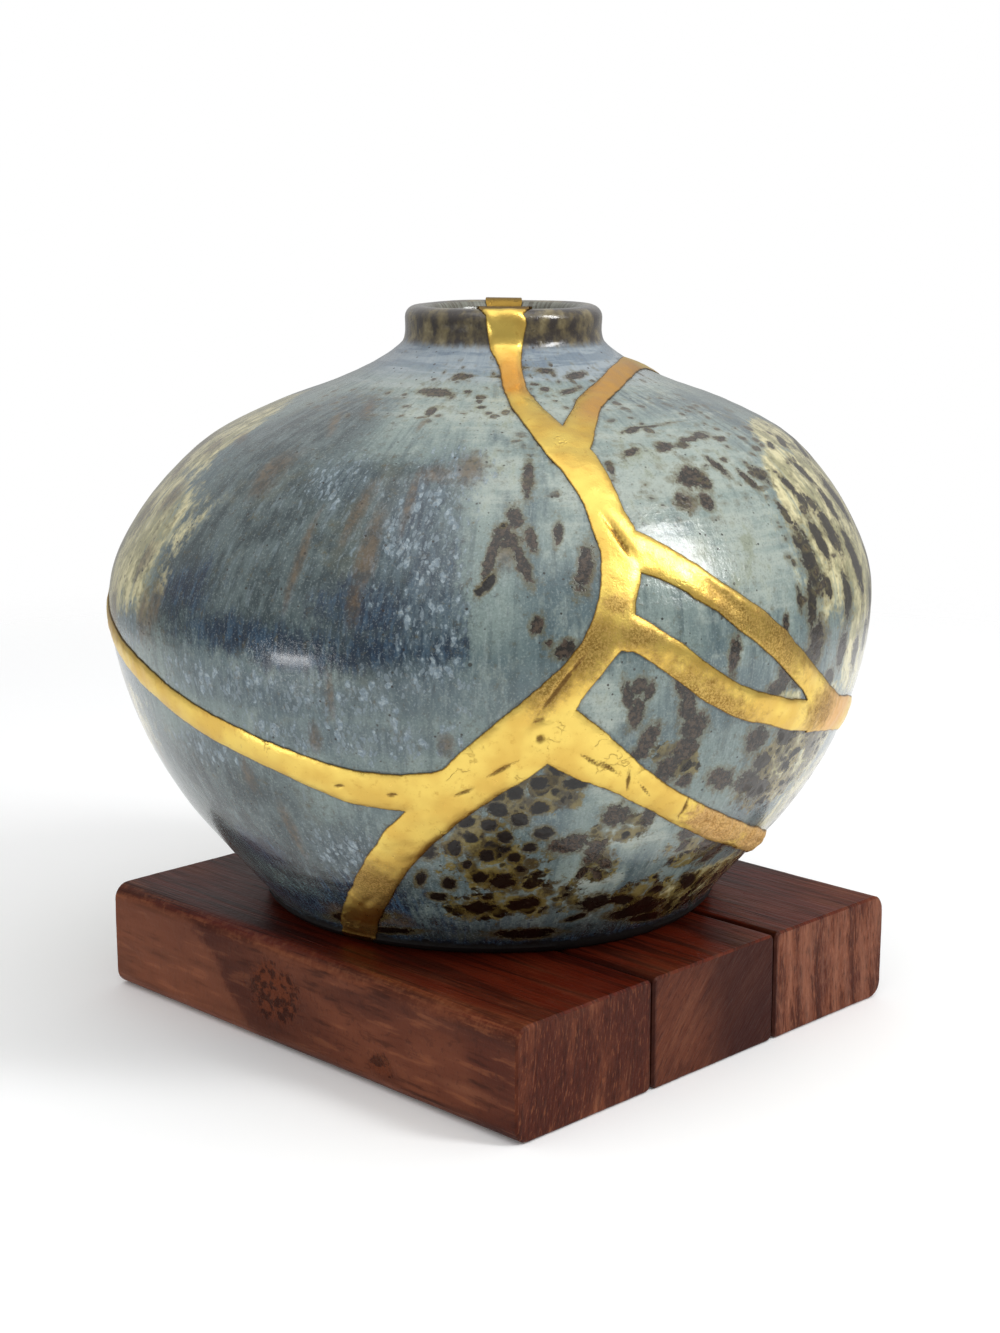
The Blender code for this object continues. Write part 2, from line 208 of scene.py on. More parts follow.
def wall_line(step):
    """(radius, height) up the outside of the wall, from the foot to where the lip turns over."""
    stations = [
        (FOOT_RADIUS + share * (BELLY_RADIUS - FOOT_RADIUS), FOOT_EDGE + rise * (BELLY_HEIGHT - FOOT_EDGE))
        for rise, share in LOWER_SWELL
    ]
    stations += [
        (BELLY_RADIUS - share * (BELLY_RADIUS - NECK_ROOT_RADIUS),
         BELLY_HEIGHT + rise * (NECK_BASE_HEIGHT - BELLY_HEIGHT))
        for rise, share in SHOULDER_FALL
    ]
    upright = COLLAR_HEIGHT - WALL / 2
    stations += [(NECK_RADIUS, NECK_BASE_HEIGHT + share * upright) for share in (COLLAR_FILLET, 1)]
    return smooth_line(stations, step)


def lip_arc(outer_growth, inner_growth):
    """The rounded lip, from the outside of the neck over to its inside."""
    radius = (WALL + outer_growth + inner_growth) / 2
    middle = NECK_RADIUS + outer_growth - radius
    height = VASE_HEIGHT - WALL / 2 + (outer_growth + inner_growth) / 2 - inner_growth
    turns = [math.radians(a) for a in range(15, 180, 15)]
    return [Vector((middle + radius * math.cos(a), height + radius * math.sin(a))) for a in turns]


def outer_line(step, growth=0.0):
    """The outside of the vase from the middle of its underside to the lip. The underside stays flat."""
    wall = offset_line(wall_line(step), -growth)
    return [Vector((0, 0)), Vector((FOOT_RADIUS - FOOT_EDGE, 0)), *wall]


def inner_line(step, growth=0.0):
    """The inside of the vase from the lip down to the middle of its floor."""
    height = FLOOR + growth
    wall = [p for p in offset_line(wall_line(step), WALL + growth) if p.y > height + FLOOR / 4]
    corner = Vector((wall[0].x - FLOOR / 4, height))
    return [*reversed(wall), corner, Vector((0, height))]


def turned_vessel(name, step, turns, outer_growth=0.0, inner_growth=0.0):
    """The vase as one hollow body, drawn as an outline and turned round its axis."""
    outline = outer_line(step, outer_growth) + lip_arc(outer_growth, inner_growth)
    outline += inner_line(INSIDE_STEP, inner_growth)
    deselect()
    bpy.ops.mesh.primitive_plane_add(size=MM)
    made = bpy.context.object
    made.name = name
    bpy.ops.object.mode_set(mode="EDIT")
    bpy.ops.mesh.select_all(action="SELECT")
    bpy.ops.mesh.merge(type="CENTER")
    for here, there in zip(outline, outline[1:]):
        drawn_on = (there.x - here.x, 0, there.y - here.y)
        bpy.ops.mesh.extrude_vertices_move(TRANSFORM_OT_translate={"value": drawn_on})
    bpy.ops.object.mode_set(mode="OBJECT")
    screw = made.modifiers.new("turn", "SCREW")
    screw.steps = screw.render_steps = turns
    screw.use_merge_vertices = True
    screw.merge_threshold = MM / 500
    bpy.ops.object.modifier_apply(modifier=screw.name)
    bpy.ops.object.mode_set(mode="EDIT")
    bpy.ops.mesh.select_all(action="SELECT")
    bpy.ops.mesh.normals_make_consistent(inside=False)
    bpy.ops.object.mode_set(mode="OBJECT")
    return made


def globe_direction(longitude, latitude):
    """The direction from the middle of the belly. Longitude 0 is the front, which faces -Y."""
    lon, lat = math.radians(longitude), math.radians(latitude)
    return Vector((math.sin(lon) * math.cos(lat), -math.cos(lon) * math.cos(lat), math.sin(lat)))


def reach(direction, line):
    """How far from the middle of the belly a (radius, height) line is, this way. Over the open mouth
    it is the distance to the height of the lip."""
    start = Vector((0, BELLY_HEIGHT))
    slope = Vector((math.hypot(direction.x, direction.y), direction.z))
    far = start + slope * (2 * (BELLY_RADIUS + VASE_HEIGHT))
    crossings = [intersect_line_line_2d(start, far, a, b) for a, b in zip(line, line[1:])]
    found = [(c - start).length for c in crossings if c]
    return max(found) if found else (VASE_HEIGHT - BELLY_HEIGHT) / max(direction.z, 0.1)


def seam_stations(points):
    """(direction, half-width) along a seam, at even steps."""
    knots = [(*globe_direction(lon, lat), width / 2000) for lon, lat, width in points]
    line = smooth_line([Vector(k) for k in knots], SEAM_STEP)
    stations = [line[0]]
    for point in line[1:]:
        gone = (point.xyz.normalized() - stations[-1].xyz.normalized()).length * BELLY_RADIUS
        if gone >= BLADE_STEP or point is line[-1]:
            stations.append(point)
    return [(s.xyz.normalized(), s.w) for s in stations]


def wander(place, side):
    """How far a seam's edge strays from its line there, as the lacquer was brushed on by hand."""
    spot = place * (1 / MM) + Vector((0, 0, 50 * side))
    return EDGE_WANDER * noise.noise(spot / 5) + EDGE_RAG * noise.noise(spot / 1.6)


def seam_blade(name, points, outside, inside, lap):
    """A blade that follows a seam right through the wall. It is the seam's width at the glaze, and
    narrows inwards to its root."""
    stations = seam_stations(points)
    shape = bmesh.new()
    rings = []
    middle = Vector((0, 0, BELLY_HEIGHT))
    root_half = SEAM_ROOT_WIDTH / 2
    for i, (direction, half) in enumerate(stations):
        along = stations[min(i + 1, len(stations) - 1)][0] - stations[max(i - 1, 0)][0]
        across = direction.cross(along).normalized()
        glaze = reach(direction, outside)
        root = min(reach(direction, inside), glaze - WALL) - BLADE_MARGIN
        crest = glaze + BLADE_MARGIN
        ring = []
        for side in (1, -1):
            edge = half + wander(glaze * direction, side)
            crest_half = root_half + (edge - root_half) * (crest - root) / (glaze - root)
            corners = ((root, root_half - lap), (crest, crest_half - lap))
            if side < 0:
                corners = corners[::-1]
            for far, wide in corners:
                ring.append(shape.verts.new(middle + far * direction + side * wide * across))
        rings.append(ring)
    for ring, following in zip(rings, rings[1:]):
        for k in range(4):
            shape.faces.new((ring[k], ring[(k + 1) % 4], following[(k + 1) % 4], following[k]))
    shape.faces.new(rings[0])
    shape.faces.new(rings[-1])
    bmesh.ops.triangulate(shape, faces=shape.faces)
    bmesh.ops.recalc_face_normals(shape, faces=shape.faces)
    mesh = bpy.data.meshes.new(name)
    shape.to_mesh(mesh)
    shape.free()
    made = bpy.data.objects.new(name, mesh)
    bpy.context.scene.collection.objects.link(made)
    return made


def cut(target, operation, tool):
    """The target joined with the tool, cut by it or kept only inside it. The tool is used up."""
    pick(target)
    step = target.modifiers.new(operation.lower(), "BOOLEAN")
    step.operation = operation
    step.solver = "MANIFOLD"
    step.object = tool
    bpy.ops.object.modifier_apply(modifier=step.name)
    bpy.data.objects.remove(tool)


def seam_network(name, lap):
    """All the blades as one."""
    outside, inside = outer_line(INSIDE_STEP), inner_line(INSIDE_STEP)
    blades = [seam_blade(f"{name}_{seam}", points, outside, inside, lap) for seam, points in SEAMS.items()]
    for other in blades[1:]:
        cut(blades[0], "UNION", other)
    return blades[0]


def loose_pieces(whole):
    """Each loose piece of the object as an object of its own."""
    pick(whole)
    bpy.ops.object.mode_set(mode="EDIT")
    bpy.ops.mesh.select_all(action="SELECT")
    bpy.ops.mesh.separate(type="LOOSE")
    bpy.ops.object.mode_set(mode="OBJECT")
    return list(bpy.context.selected_objects)


def vertex_places(mesh):
    places = np.empty(len(mesh.vertices) * 3, np.float64)
    mesh.vertices.foreach_get("co", places)
    return places.reshape(-1, 3)


def move_vertices(mesh, places):
    mesh.vertices.foreach_set("co", places.astype(np.float32).ravel())
    mesh.update()


def name_shards(pieces):
    """The pieces by the place that each covers. Crumbs that cover none are removed."""
    outside = outer_line(INSIDE_STEP)
    shards = {}
    for name, (longitude, latitude) in SHARD_PLACES.items():
        direction = globe_direction(longitude, latitude)
        place = np.array(Vector((0, 0, BELLY_HEIGHT)) + reach(direction, outside) * direction)
        nearest = min(pieces, key=lambda p: np.linalg.norm(vertex_places(p.data) - place, axis=1).min())
        pieces.remove(nearest)
        nearest.name = f"glazed_{name}"
        shards[name] = nearest
    for crumb in pieces:
        bpy.data.objects.remove(crumb)
    return shards


def glaze_line():
    """(radius, height) points up the outside to the top of the lip, and how far up the wall each is."""
    lip = lip_arc(0, 0)[:LIP_TOP]
    line = np.array([tuple(p) for p in [*outer_line(GLAZE_STEP)[1:], *lip]])
    gone = np.concatenate([[0], np.cumsum(np.linalg.norm(np.diff(line, axis=0), axis=1))])
    return line, gone


def wheel_places(places):
    """For points in the vase's own frame, before the neck leans: longitude in radians, the distance up
    the wall's outside from the foot, the radius, and how deep the point lies under that outside."""
    line, gone = glaze_line()
    radius = np.hypot(places[:, 0], places[:, 1])
    longitude = np.arctan2(places[:, 0], -places[:, 1])
    climb = np.interp(places[:, 2], line[:, 1], gone)
    depth = np.interp(places[:, 2], line[:, 1], line[:, 0]) - radius
    return longitude, climb, radius, depth


def wheel_place(longitude, latitude):
    """The same longitude and distance up the wall, and the radius, for a place named in degrees."""
    direction = globe_direction(longitude, latitude)
    place = Vector((0, 0, BELLY_HEIGHT)) + reach(direction, outer_line(INSIDE_STEP)) * direction
    lon, climb, radius, _ = wheel_places(np.array([tuple(place)]))
    return lon[0], climb[0], radius[0]


def mark_distance(wheel, mark):
    """How far each point is from a mark's middle, where 1 is the mark's edge. A mark is (longitude,
    latitude, half-width in mm, half-height in mm), and then the degrees that its top leans to the left,
    if it leans."""
    longitude, climb, _, _ = wheel
    lon, height, radius = wheel_place(mark[0], mark[1])
    across = ((longitude - lon + math.pi) % math.tau - math.pi) * radius
    up = climb - height
    lean_left = math.radians(mark[4]) if len(mark) > 4 else 0
    wide = (across * math.cos(lean_left) + up * math.sin(lean_left)) / (mark[2] * MM)
    tall = (up * math.cos(lean_left) - across * math.sin(lean_left)) / (mark[3] * MM)
    return np.hypot(wide, tall)


def marked(wheel, marks):
    """1 in the middle of the marks, 0.5 at their edges, and 0 well away from them."""
    strength = np.zeros(len(wheel[0]))
    for mark in marks:
        strength = np.maximum(strength, 1 - mark_distance(wheel, mark) / 2)
    return strength


def paint(piece, name, values):
    """Keeps a number, or three, for each vertex of the piece, for its material to read."""
    kind, field = ("FLOAT", "value") if values.ndim == 1 else ("FLOAT_VECTOR", "vector")
    layer = piece.data.attributes.new(name, kind, "POINT")
    layer.data.foreach_set(field, values.astype(np.float32).ravel())


# Where the glaze changes, as (longitude, latitude, half-width in mm, half-height in mm), and a lean
GLAZE_MARKS = {
    "olive": (
        (88, 14, 46, 25), (62, 24, 11, 9, 20), (54, -16, 13, 12, 30), (70, -30, 18, 14, 20),
        (-94, 14, 50, 22), (-80, 34, 19, 12, -35), (-100, -14, 46, 14), (190, -20, 40, 14),
        (150, 20, 22, 30, 10), (50, -42, 15, 6), (45, -8, 6, 4), (74, 33, 12, 5), (70, -2, 12, 11),
    ),
    "leopard": (
        (6.8, -12.7, 5, 3.6), (2.8, -17.4, 6, 4.8), (-3, -24.6, 6.4, 5.6), (1.5, -31, 8, 6.4),
        (9, -38.7, 8.4, 5.8), (-2, -41, 6.2, 4.4), (10, -17.7, 4, 2.8), (20, -24, 5, 3.6),
        (19, -32, 3, 5), (30, -40.5, 6, 5), (51, -44, 16, 6.6), (38.6, -31.5, 8, 4.4),
        (52, -17, 13, 9, 30), (92, 8, 12, 18), (80, -30, 18, 12, 20), (175, 10, 26, 18, 10),
        (120, 25, 24, 16), (-120, 20, 26, 14), (-150, -30, 28, 12), (27, -13, 5, 3, -30),
    ),
    "slate": (
        (-41, 19.7, 18, 15.5), (-25, 18, 12, 13), (-46, 37.3, 13, 15), (-36, 8.6, 15, 6),
        (-16, 8, 10, 12), (-64, -38.8, 14, 16), (-30.7, -36.6, 19, 15), (-45, -22, 19, 10),
        (-50, 10, 9, 12), (0, -50, 60, 4), (-20, 26, 12, 7),
    ),
    "navy": (
        (-33.5, 3.6, 22, 3.4), (-15, 9, 12, 5), (-9, 12, 5.0, 12), (-7.8, 4.4, 6, 4.2),
        (-25.5, 1.8, 13, 2.6), (-48, 8, 7, 6), (-13, 3.4, 9, 3.4), (-24, -42, 12, 7), (-40, -46, 30, 4),
        (2, -52, 60, 3), (-45, -33, 8, 5), (-12, 21, 4, 9),
    ),
    "frost": (
        (-9, 21, 5, 13), (-14.5, 17.7, 5.5, 10), (-28, 27.4, 7, 5), (-25.9, -3.9, 24, 3.6),
        (-37.6, -3.7, 16.7, 3.6), (-9, 0.1, 7.3, 4.1), (-19, -8.8, 18, 3.6), (-8.3, 9.5, 5.5, 8),
        (-26.8, -9.6, 9, 3), (-46, -14, 8, 4), (-8, 30, 6, 6), (-62, 2, 8, 4), (-24, -30, 8, 6),
    ),
    "dashes": ((40, 34, 36, 15), (20, 52, 30, 8), (-30, 48, 26, 7), (54, 12, 10, 16), (30, 60, 30, 5),),
    "pale": (
        (32, 30, 26, 18), (40, 16, 13, 18), (-2, 30, 8, 12), (5, 46, 26, 12), (-30, 58, 22, 8),
        (18.9, -18.4, 6, 5), (24, -24, 9, 8, 20), (18, -36, 6, 7, 10), (100, 60, 40, 12),
        (200, 60, 40, 12), (14.4, -2.9, 5.7, 5.8), (30.3, 14.6, 15.6, 8.1), (-16.7, 46.5, 10, 6.2),
        (-75, -24, 10, 12),
    ),
    "rust": (
        (-57.6, 3.6, 3.2, 6.2, -6), (-69, -3, 3, 3), (-78, 24, 5, 3, -30), (-64, 33, 3.4, 2, -30),
        (-43.4, 28.6, 3.4, 5.3, -20), (-43, 25.2, 2.4, 3.2), (-18.2, 17.3, 2.1, 9.5),
        (-22.1, 22.5, 1.5, 8.6, -6), (-18.7, 9.4, 1.7, 4.5), (-10.9, 29.4, 2.2, 2.9),
        (-5.8, 30.7, 4.0, 4.2), (-24.2, -8.9, 1.4, 3.6), (-5.7, -9.1, 2.0, 2.8), (-38, 46, 6.3, 1.4, -60),
        (-42, 40.6, 5.6, 1.2, -60), (-18.9, 41.5, 0.9, 3.4), (-84, 29, 6, 5, -35),
        (-14.2, 24.7, 0.9, 6.9), (-28.6, 14.8, 1.1, 8.3), (-21.3, -1.9, 1.0, 5.8),
        (-37.8, -17.6, 1.7, 4.3), (-33.5, -26, 1.4, 7.2), (-55, 4, 3.6, 7), (2, 17.5, 2.3, 4.6, -10),
        (12.7, 14, 2, 4.6), (31.6, 23, 3.6, 2.4), (52, 1, 5, 4), (-27, -46, 12, 3), (38, -6.5, 4, 2),
        (-71, 30, 4, 3, -30), (-67, 20, 4, 4, -20), (-62, 11, 3, 5, -10), (-76, 16, 5, 5), (-72, 2, 4, 5),
        (-74, -12, 4, 8), (-82, 8, 5, 8), (-66, -20, 3, 5),
    ),
    "blotch": (
        (0.8, 19.6, 1.5, 1.7), (-0.7, 15.6, 0.9, 5, -12), (3.8, 15.3, 1.0, 4.2, 20),
        (1.9, 18.4, 1.9, 1.5), (2.6, 22, 1.2, 2.2, 20), (5.1, 18.7, 0.8, 2.6, 15),
        (4.7, 28.5, 0.9, 4.0, -4), (12.6, 14.5, 1.4, 4.4, -14), (9.0, 19.5, 0.8, 2.4, -6),
        (6, 7.1, 1.1, 1.7, -10), (9.6, 3.8, 1.9, 1.5, 30), (7.4, 4.6, 0.6, 0.8),
        (-22.4, 53.4, 3.2, 1.4, -10), (-16.2, 60, 1.8, 0.9), (-12, 54, 0.8, 0.7), (-7, 52, 1.0, 0.7),
        (-6, 48, 0.8, 0.6), (-19, 46, 0.9, 1.7), (0, 60, 2.4, 0.5), (6, 63, 2.8, 0.5),
        (34.2, 27.3, 2.9, 2.6, 45), (36.4, 26.3, 1.5, 1.9), (30.6, 23.2, 1.6, 1.7, 30),
        (35, 22.8, 1.5, 1.7, 30), (29.1, 39, 1.6, 0.9, 20), (33, 34, 1.9, 1.4, 20),
        (37.5, 34, 1.8, 0.8, 10), (41, 35.2, 2.4, 0.7), (45.5, 36, 1.8, 1.2, 10), (49.7, 34.5, 1.5, 0.8),
        (25.1, 33.2, 1.8, 0.8, 25), (19.5, 30, 0.6, 1.6), (36, 39.8, 6, 0.35, 4),
        (41.8, 28.8, 1.0, 2.6, 25), (46.9, 25.8, 0.9, 2.6, 25), (51, 26.3, 1.6, 2.4, 40),
        (51.2, 19.3, 0.9, 2.6, 12), (51, 14.8, 0.9, 1.8, 10), (22, 54, 2.2, 0.8, 20),
        (30, 60, 2.6, 1.0, 20), (18, 62, 1.6, 0.8), (28, 52, 1.4, 1.0, 30), (14, 55, 0.9, 0.8),
        (11, 57, 0.8, 0.6), (52.4, 11.8, 2.2, 6.6), (50.4, 6.2, 1.6, 4.0, -10), (57.6, 14.4, 1.7, 4.6, 8),
        (62.6, 15.4, 2.2, 5.0, 8), (61.6, 5.6, 2.0, 4.0), (55.4, 7.8, 1.5, 2.4, 12),
        (51.6, 0.6, 2.4, 4.0), (68.6, 9.5, 2.2, 6.2, 6), (59.8, -1.8, 1.9, 3.2), (76, 19, 2.6, 5.4, 10),
        (56.6, -5.4, 1.8, 2.0), (68.6, 18.8, 1.6, 3.4), (88, 25.8, 4.7, 2.2), (84, 10, 2.8, 6.4),
        (75.5, 1.4, 2.2, 4.6), (49.4, -1.8, 3.2, 2.2), (66.5, -3.5, 1.8, 3.2), (72, -2, 1.6, 3.0),
        (58.6, 20.4, 1.2, 2.2, 10), (80, 7, 1.8, 4.4), (57.5, 23.5, 1.1, 2.6, 20), (61, 20, 1.0, 2.6, 20),
        (67, 25, 1.2, 3.4, 25), (72, 31, 2.6, 1.4, 30), (80, 28, 3.6, 1.5, 30), (64, 31, 1.6, 0.9, 20),
        (88, 31, 5, 1.5, 30), (47.6, 7, 0.8, 2.2), (50, 4, 0.7, 1.8), (44, 4.2, 0.8, 1.8),
        (34.4, 1.2, 1.2, 3.4, -6), (45, -2.4, 2.6, 2.2, 30), (43, -4.8, 2.4, 1.4), (48, -4.4, 1.8, 1.2),
        (18.2, -2.6, 0.9, 2.8, 12), (19.8, -1.6, 1.3, 1.6, -20), (19.7, -5.2, 1.3, 2.8, -4),
        (21.3, -2.6, 0.9, 1.9, -20), (26.6, -1.2, 1.8, 2.6, -10), (27.3, -5, 1.5, 3.2),
        (28.8, -8.2, 2.6, 2.8), (28, -11.4, 2.2, 2.8, -30), (25.6, -14.2, 2.4, 2.6, -30),
        (22, -9, 1.6, 2.6, -20), (21, -11.2, 1.8, 1.4, 20), (29, -16.6, 1.6, 1.4),
        (36, -17.5, 3.4, 2.0, -30), (42, -19.2, 3.6, 2.4, -20), (46, -21.4, 3.4, 2.2),
        (41, -12, 2.8, 2.4, -20), (48, -12.6, 3.2, 2.0, -20), (55, -12.6, 3.6, 1.6),
        (44, -16, 2.4, 1.8, -20), (19.2, -21.6, 2.8, 2.4), (24.6, -22, 1.4, 3.0, -10),
        (12.6, -26.4, 3.6, 2.2, 10), (17, -28.4, 1.6, 3.4, -14), (19.4, -31.2, 2.0, 1.1, -50),
        (18.6, -33.4, 2.6, 0.8, -60), (15.8, -33, 1.0, 2.2, -10), (34, -27, 2.4, 1.8),
        (40, -30.6, 2.2, 2.8, -30), (44, -33.6, 2.0, 3.4, -40), (34, -30, 1.0, 1.6, -40),
    ),
    "crinkle": ((-26, 0.5, 9, 5),),
    "black": (
        (27, -41.6, 3.6, 1.5, -25), (34, -44, 3.0, 2.0, -30), (43, -40.6, 3.6, 1.7, -40),
        (18, -45, 2.0, 1.0, 20), (8, -48.6, 5.6, 1.6), (38, -48.6, 4.4, 1.2, -10), (-2, -41, 3.1, 1.9, 6),
        (5, -40.6, 1.9, 1.6), (-0.6, -28.3, 1.4, 1.5), (2, -34.1, 2.4, 2.3), (-1.8, -33.3, 1.5, 1.7),
        (-3.7, -30.1, 1.0, 1.2), (3.9, -28.8, 1.2, 1.3), (6.2, -26.7, 1.2, 1.2), (8.2, -23.9, 1.7, 1.4),
        (2.2, -24.6, 1.4, 1.4), (-0.1, -22.3, 1.3, 1.4), (4.3, -21.3, 1.7, 1.6), (7.1, -19.3, 1.5, 1.4),
        (3.5, -16.6, 1.5, 1.5), (6.9, -15.1, 1.7, 1.4), (9.6, -12.8, 1.9, 1.4), (4.7, -12.6, 1.7, 1.4),
        (11.9, -15.3, 2.2, 1.2), (7.4, -39.9, 1.9, 1.9), (-5.5, -26.7, 1.1, 2.0), (-7.1, -34.7, 1.2, 2.0),
        (20.8, -41.3, 3.2, 2.4), (33.4, -45.4, 6.0, 2.4), (-10, -27.4, 1.6, 2.4),
        (-12, -33.8, 0.9, 2.4, -20), (-9.6, -38.4, 1.6, 1.3), (-31, -47, 7, 1.5, 20),
        (-24, -49.4, 6, 1.0, 10), (0.9, 20.7, 0.5, 0.5), (-1.9, 11.4, 0.8, 0.8),
        (-0.6, 12.6, 0.8, 1.8, -30),
    ),
}

# What stands up or sinks in the gold: (longitude, latitude, half-width, half-height, lean, height)
GOLD_RELIEF = (
    (17.7, 19.2, 0.55, 4.4, 27, -0.75), (18.6, 17.2, 0.5, 1.6, 20, -0.5), (33.0, 8.9, 1.1, 11, 47, -0.35),
    (33.6, 10.8, 1.2, 11, 47, 0.2), (9.2, -0.6, 0.7, 9, -38, -0.35), (8.0, -0.9, 0.45, 9, -38, 0.25),
    (6.6, -1.6, 1.5, 0.8, -30, 0.4), (6.6, -8.0, 2.0, 2.0, 0, 0.55), (6.6, -8.0, 1.0, 0.9, 0, -0.9),
    (7.2, -6.2, 1.6, 0.4, 5, 0.2), (1.6, -12.6, 0.35, 2.6, -58, -0.4), (-3.6, -16.4, 0.3, 2.0, -64, -0.3),
    (-13.8, -17.2, 0.9, 0.4, 10, -0.4), (-21.6, -16.4, 0.8, 0.4, 10, -0.4),
    (13.8, -11.8, 0.5, 3.0, 55, -0.4), (16.4, -13.0, 0.5, 2.4, 50, -0.45),
    (15, -12.3, 0.6, 2.6, 55, 0.3), (19.6, -15.4, 0.4, 2.6, 5, -0.4),
    (21, -15.2, 0.35, 2.6, 35, -0.3), (26, -18.2, 2.6, 4.6, 62, 0.25), (33, -22.6, 2.4, 4.2, 62, 0.4),
    (30.2, -21.6, 0.4, 2.6, -10, -0.45), (37.6, -25.2, 0.4, 2.4, 0, -0.4), (42, -27.6, 1.4, 1.6, 20, 0.3),
    (45, -29.6, 0.4, 2.4, 10, -0.4), (-31, -49.2, 1.9, 0.7, 60, 0.35), (-24, -41, 2.8, 0.8, 50, -0.3),
)
# Where the gold is rough and tan, painted shade in its creases, dull and brushed with painted shade where
# it is shadowed or faces down, or orange
GOLD_MARKS = {
    "tan": ((40, -26.6, 4, 12, 62), (58, -34, 5, 14, 60),),
    "shaded_crease": (
        (18.1, 18.2, 1.1, 8.0, 24), (6.6, -8.0, 1.8, 1.6), (6.4, -5.4, 2.4, 0.9, 5),
        (1.6, -12.6, 0.9, 6.0, -58), (-13.8, -17.2, 2.4, 0.9, 10), (-21.6, -16.4, 2.4, 0.9, 10),
        (13.8, -11.8, 0.9, 6.0, 55), (16.4, -13.0, 0.9, 5.6, 50), (19.6, -15.4, 0.9, 6.0, 5),
        (-3.6, -16.4, 0.8, 4.0, -64), (9.3, -0.6, 0.9, 14.0, -38), (30.2, -21.6, 0.9, 6.0, -10),
        (22.4, -17.2, 0.8, 5.0, 40),
    ),
    # Dull satin gold, and painted shade: darker at its shadowed left edge and on the leg that faces down
    # to the block
    "dull_and_shaded": (
        (13, 4, 4.5, 7, -20), (31, -4.6, 4, 16, 58), (42, 2, 5, 12, 45), (-21, -37, 7, 15, 38),
        (-31, -50, 6, 3), (20, 5.2, 6, 3.4), (16.6, 9.4, 3.4, 2.0), (8, -1, 3, 6, -38), (56, -10, 7, 5),
        (35, 6.6, 4, 11, 47), (-22, -38.6, 5, 9, 38),
    ),
    "orange": (
        (27, 48, 4, 8, -45), (2, 60, 4, 7), (40, 56, 4, 10, -70), (56, 60, 4, 12, -80),
        (62, -10.5, 11, 7),
    ),
}

# The gold's lumps, as (height, size): everywhere, and more on the rim. Then the crumbs' size
GOLD_LUMPS = ((0.2 * MM, 9 * MM), (0.11 * MM, 2.8 * MM))
RIM_LUMP_HEIGHT, RIM_LUMP_SIZE = 0.9 * MM, 3 * MM
CRUMB_SIZE = 2.9 * MM

# The turned surface: how high the thrower's rings stand, and how far apart they are, and how high the
# wall's slow wave is, how far up the wall it takes to pass, and how often it comes round
RING_HEIGHT = 0.022 * MM
RING_SPACING = 4.2 * MM
WALL_WAVE = 0.22 * MM
WAVE_LENGTH = 30 * MM
WAVE_PACE = 1.1


def noise_at(places, size, shift=Vector()):
    """Smooth noise of this size at each place."""
    return np.array([noise.noise(Vector(p) / size + shift) for p in places])


def throwing_relief(longitude, climb, ring_height=RING_HEIGHT):
    """How far the thrown surface stands from its true outline: rings that come and go, and a slow wave."""
    turns = climb / RING_SPACING + longitude / math.tau
    rings = np.cos(turns * math.tau)
    places = np.stack([np.sin(longitude), np.cos(longitude), climb / WAVE_LENGTH], axis=1) * WAVE_PACE
    wave = noise_at(places, 1)
    return ring_height * rings * np.clip(0.5 + 1.6 * wave, 0, 1) + WALL_WAVE * wave


def outward(longitude, climb):
    """The direction out of the turned wall at each point."""
    line, gone = glaze_line()
    along = np.gradient(line, axis=0)
    along /= np.linalg.norm(along, axis=1)[:, None]
    out = np.interp(climb, gone, along[:, 1])
    up = np.interp(climb, gone, -along[:, 0])
    return np.stack([out * np.sin(longitude), -out * np.cos(longitude), up], axis=1)


def stand_on_block(piece):
    """Leans the neck, turns the vase's front to the block's corner and stands it on the planks."""
    places = vertex_places(piece.data)
    share = np.clip((places[:, 2] - BELLY_HEIGHT) / (NECK_BASE_HEIGHT - BELLY_HEIGHT), 0, 1)
    places[:, 0] += NECK_LEAN * share * share * (3 - 2 * share)
    turned = places.copy()
    turned[:, 0] = places[:, 0] * math.cos(VASE_TURN) - places[:, 1] * math.sin(VASE_TURN)
    turned[:, 1] = places[:, 0] * math.sin(VASE_TURN) + places[:, 1] * math.cos(VASE_TURN)
    turned[:, 2] = places[:, 2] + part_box("plank_middle")[1].z + REST_GAP
    move_vertices(piece.data, turned)


def give_finish(piece, material, bend):
    """The piece's one material, and smooth shading up to this many degrees between its faces."""
    piece.data.materials.clear()
    piece.data.materials.append(material)
    pick(piece)
    bpy.ops.object.shade_smooth_by_angle(angle=math.radians(bend))


def round_pattern_places(longitude, climb):
    """Places for patterns that follow the wall: round the belly, and up the wall from the foot."""
    return np.stack([np.sin(longitude) * BELLY_RADIUS, -np.cos(longitude) * BELLY_RADIUS, climb], axis=1)


def finish_shard(node, piece, seam_tree, glaze):
    places = vertex_places(piece.data)
    wheel = wheel_places(places)
    longitude, climb, _, depth = wheel
    for name, marks in GLAZE_MARKS.items():
        paint(piece, name, marked(wheel, marks))
    paint(piece, "wheel", round_pattern_places(longitude, climb))
    gap = np.array([seam_tree.find(p)[2] for p in places])
    paint(piece, "seam_gap", gap / MM)
    paint(piece, "inside", np.clip((depth - INSIDE_DEPTH) / MM, 0, 1))
    outside = np.clip(1 - depth / RELIEF_DEPTH, 0, 1)[:, None]
    places += outward(longitude, climb) * outside * throwing_relief(longitude, climb)[:, None]
    move_vertices(piece.data, places)
    stand_on_block(piece)
    give_finish(piece, glaze, GLAZE_BEND)
    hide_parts(node)
    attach(piece, "root")


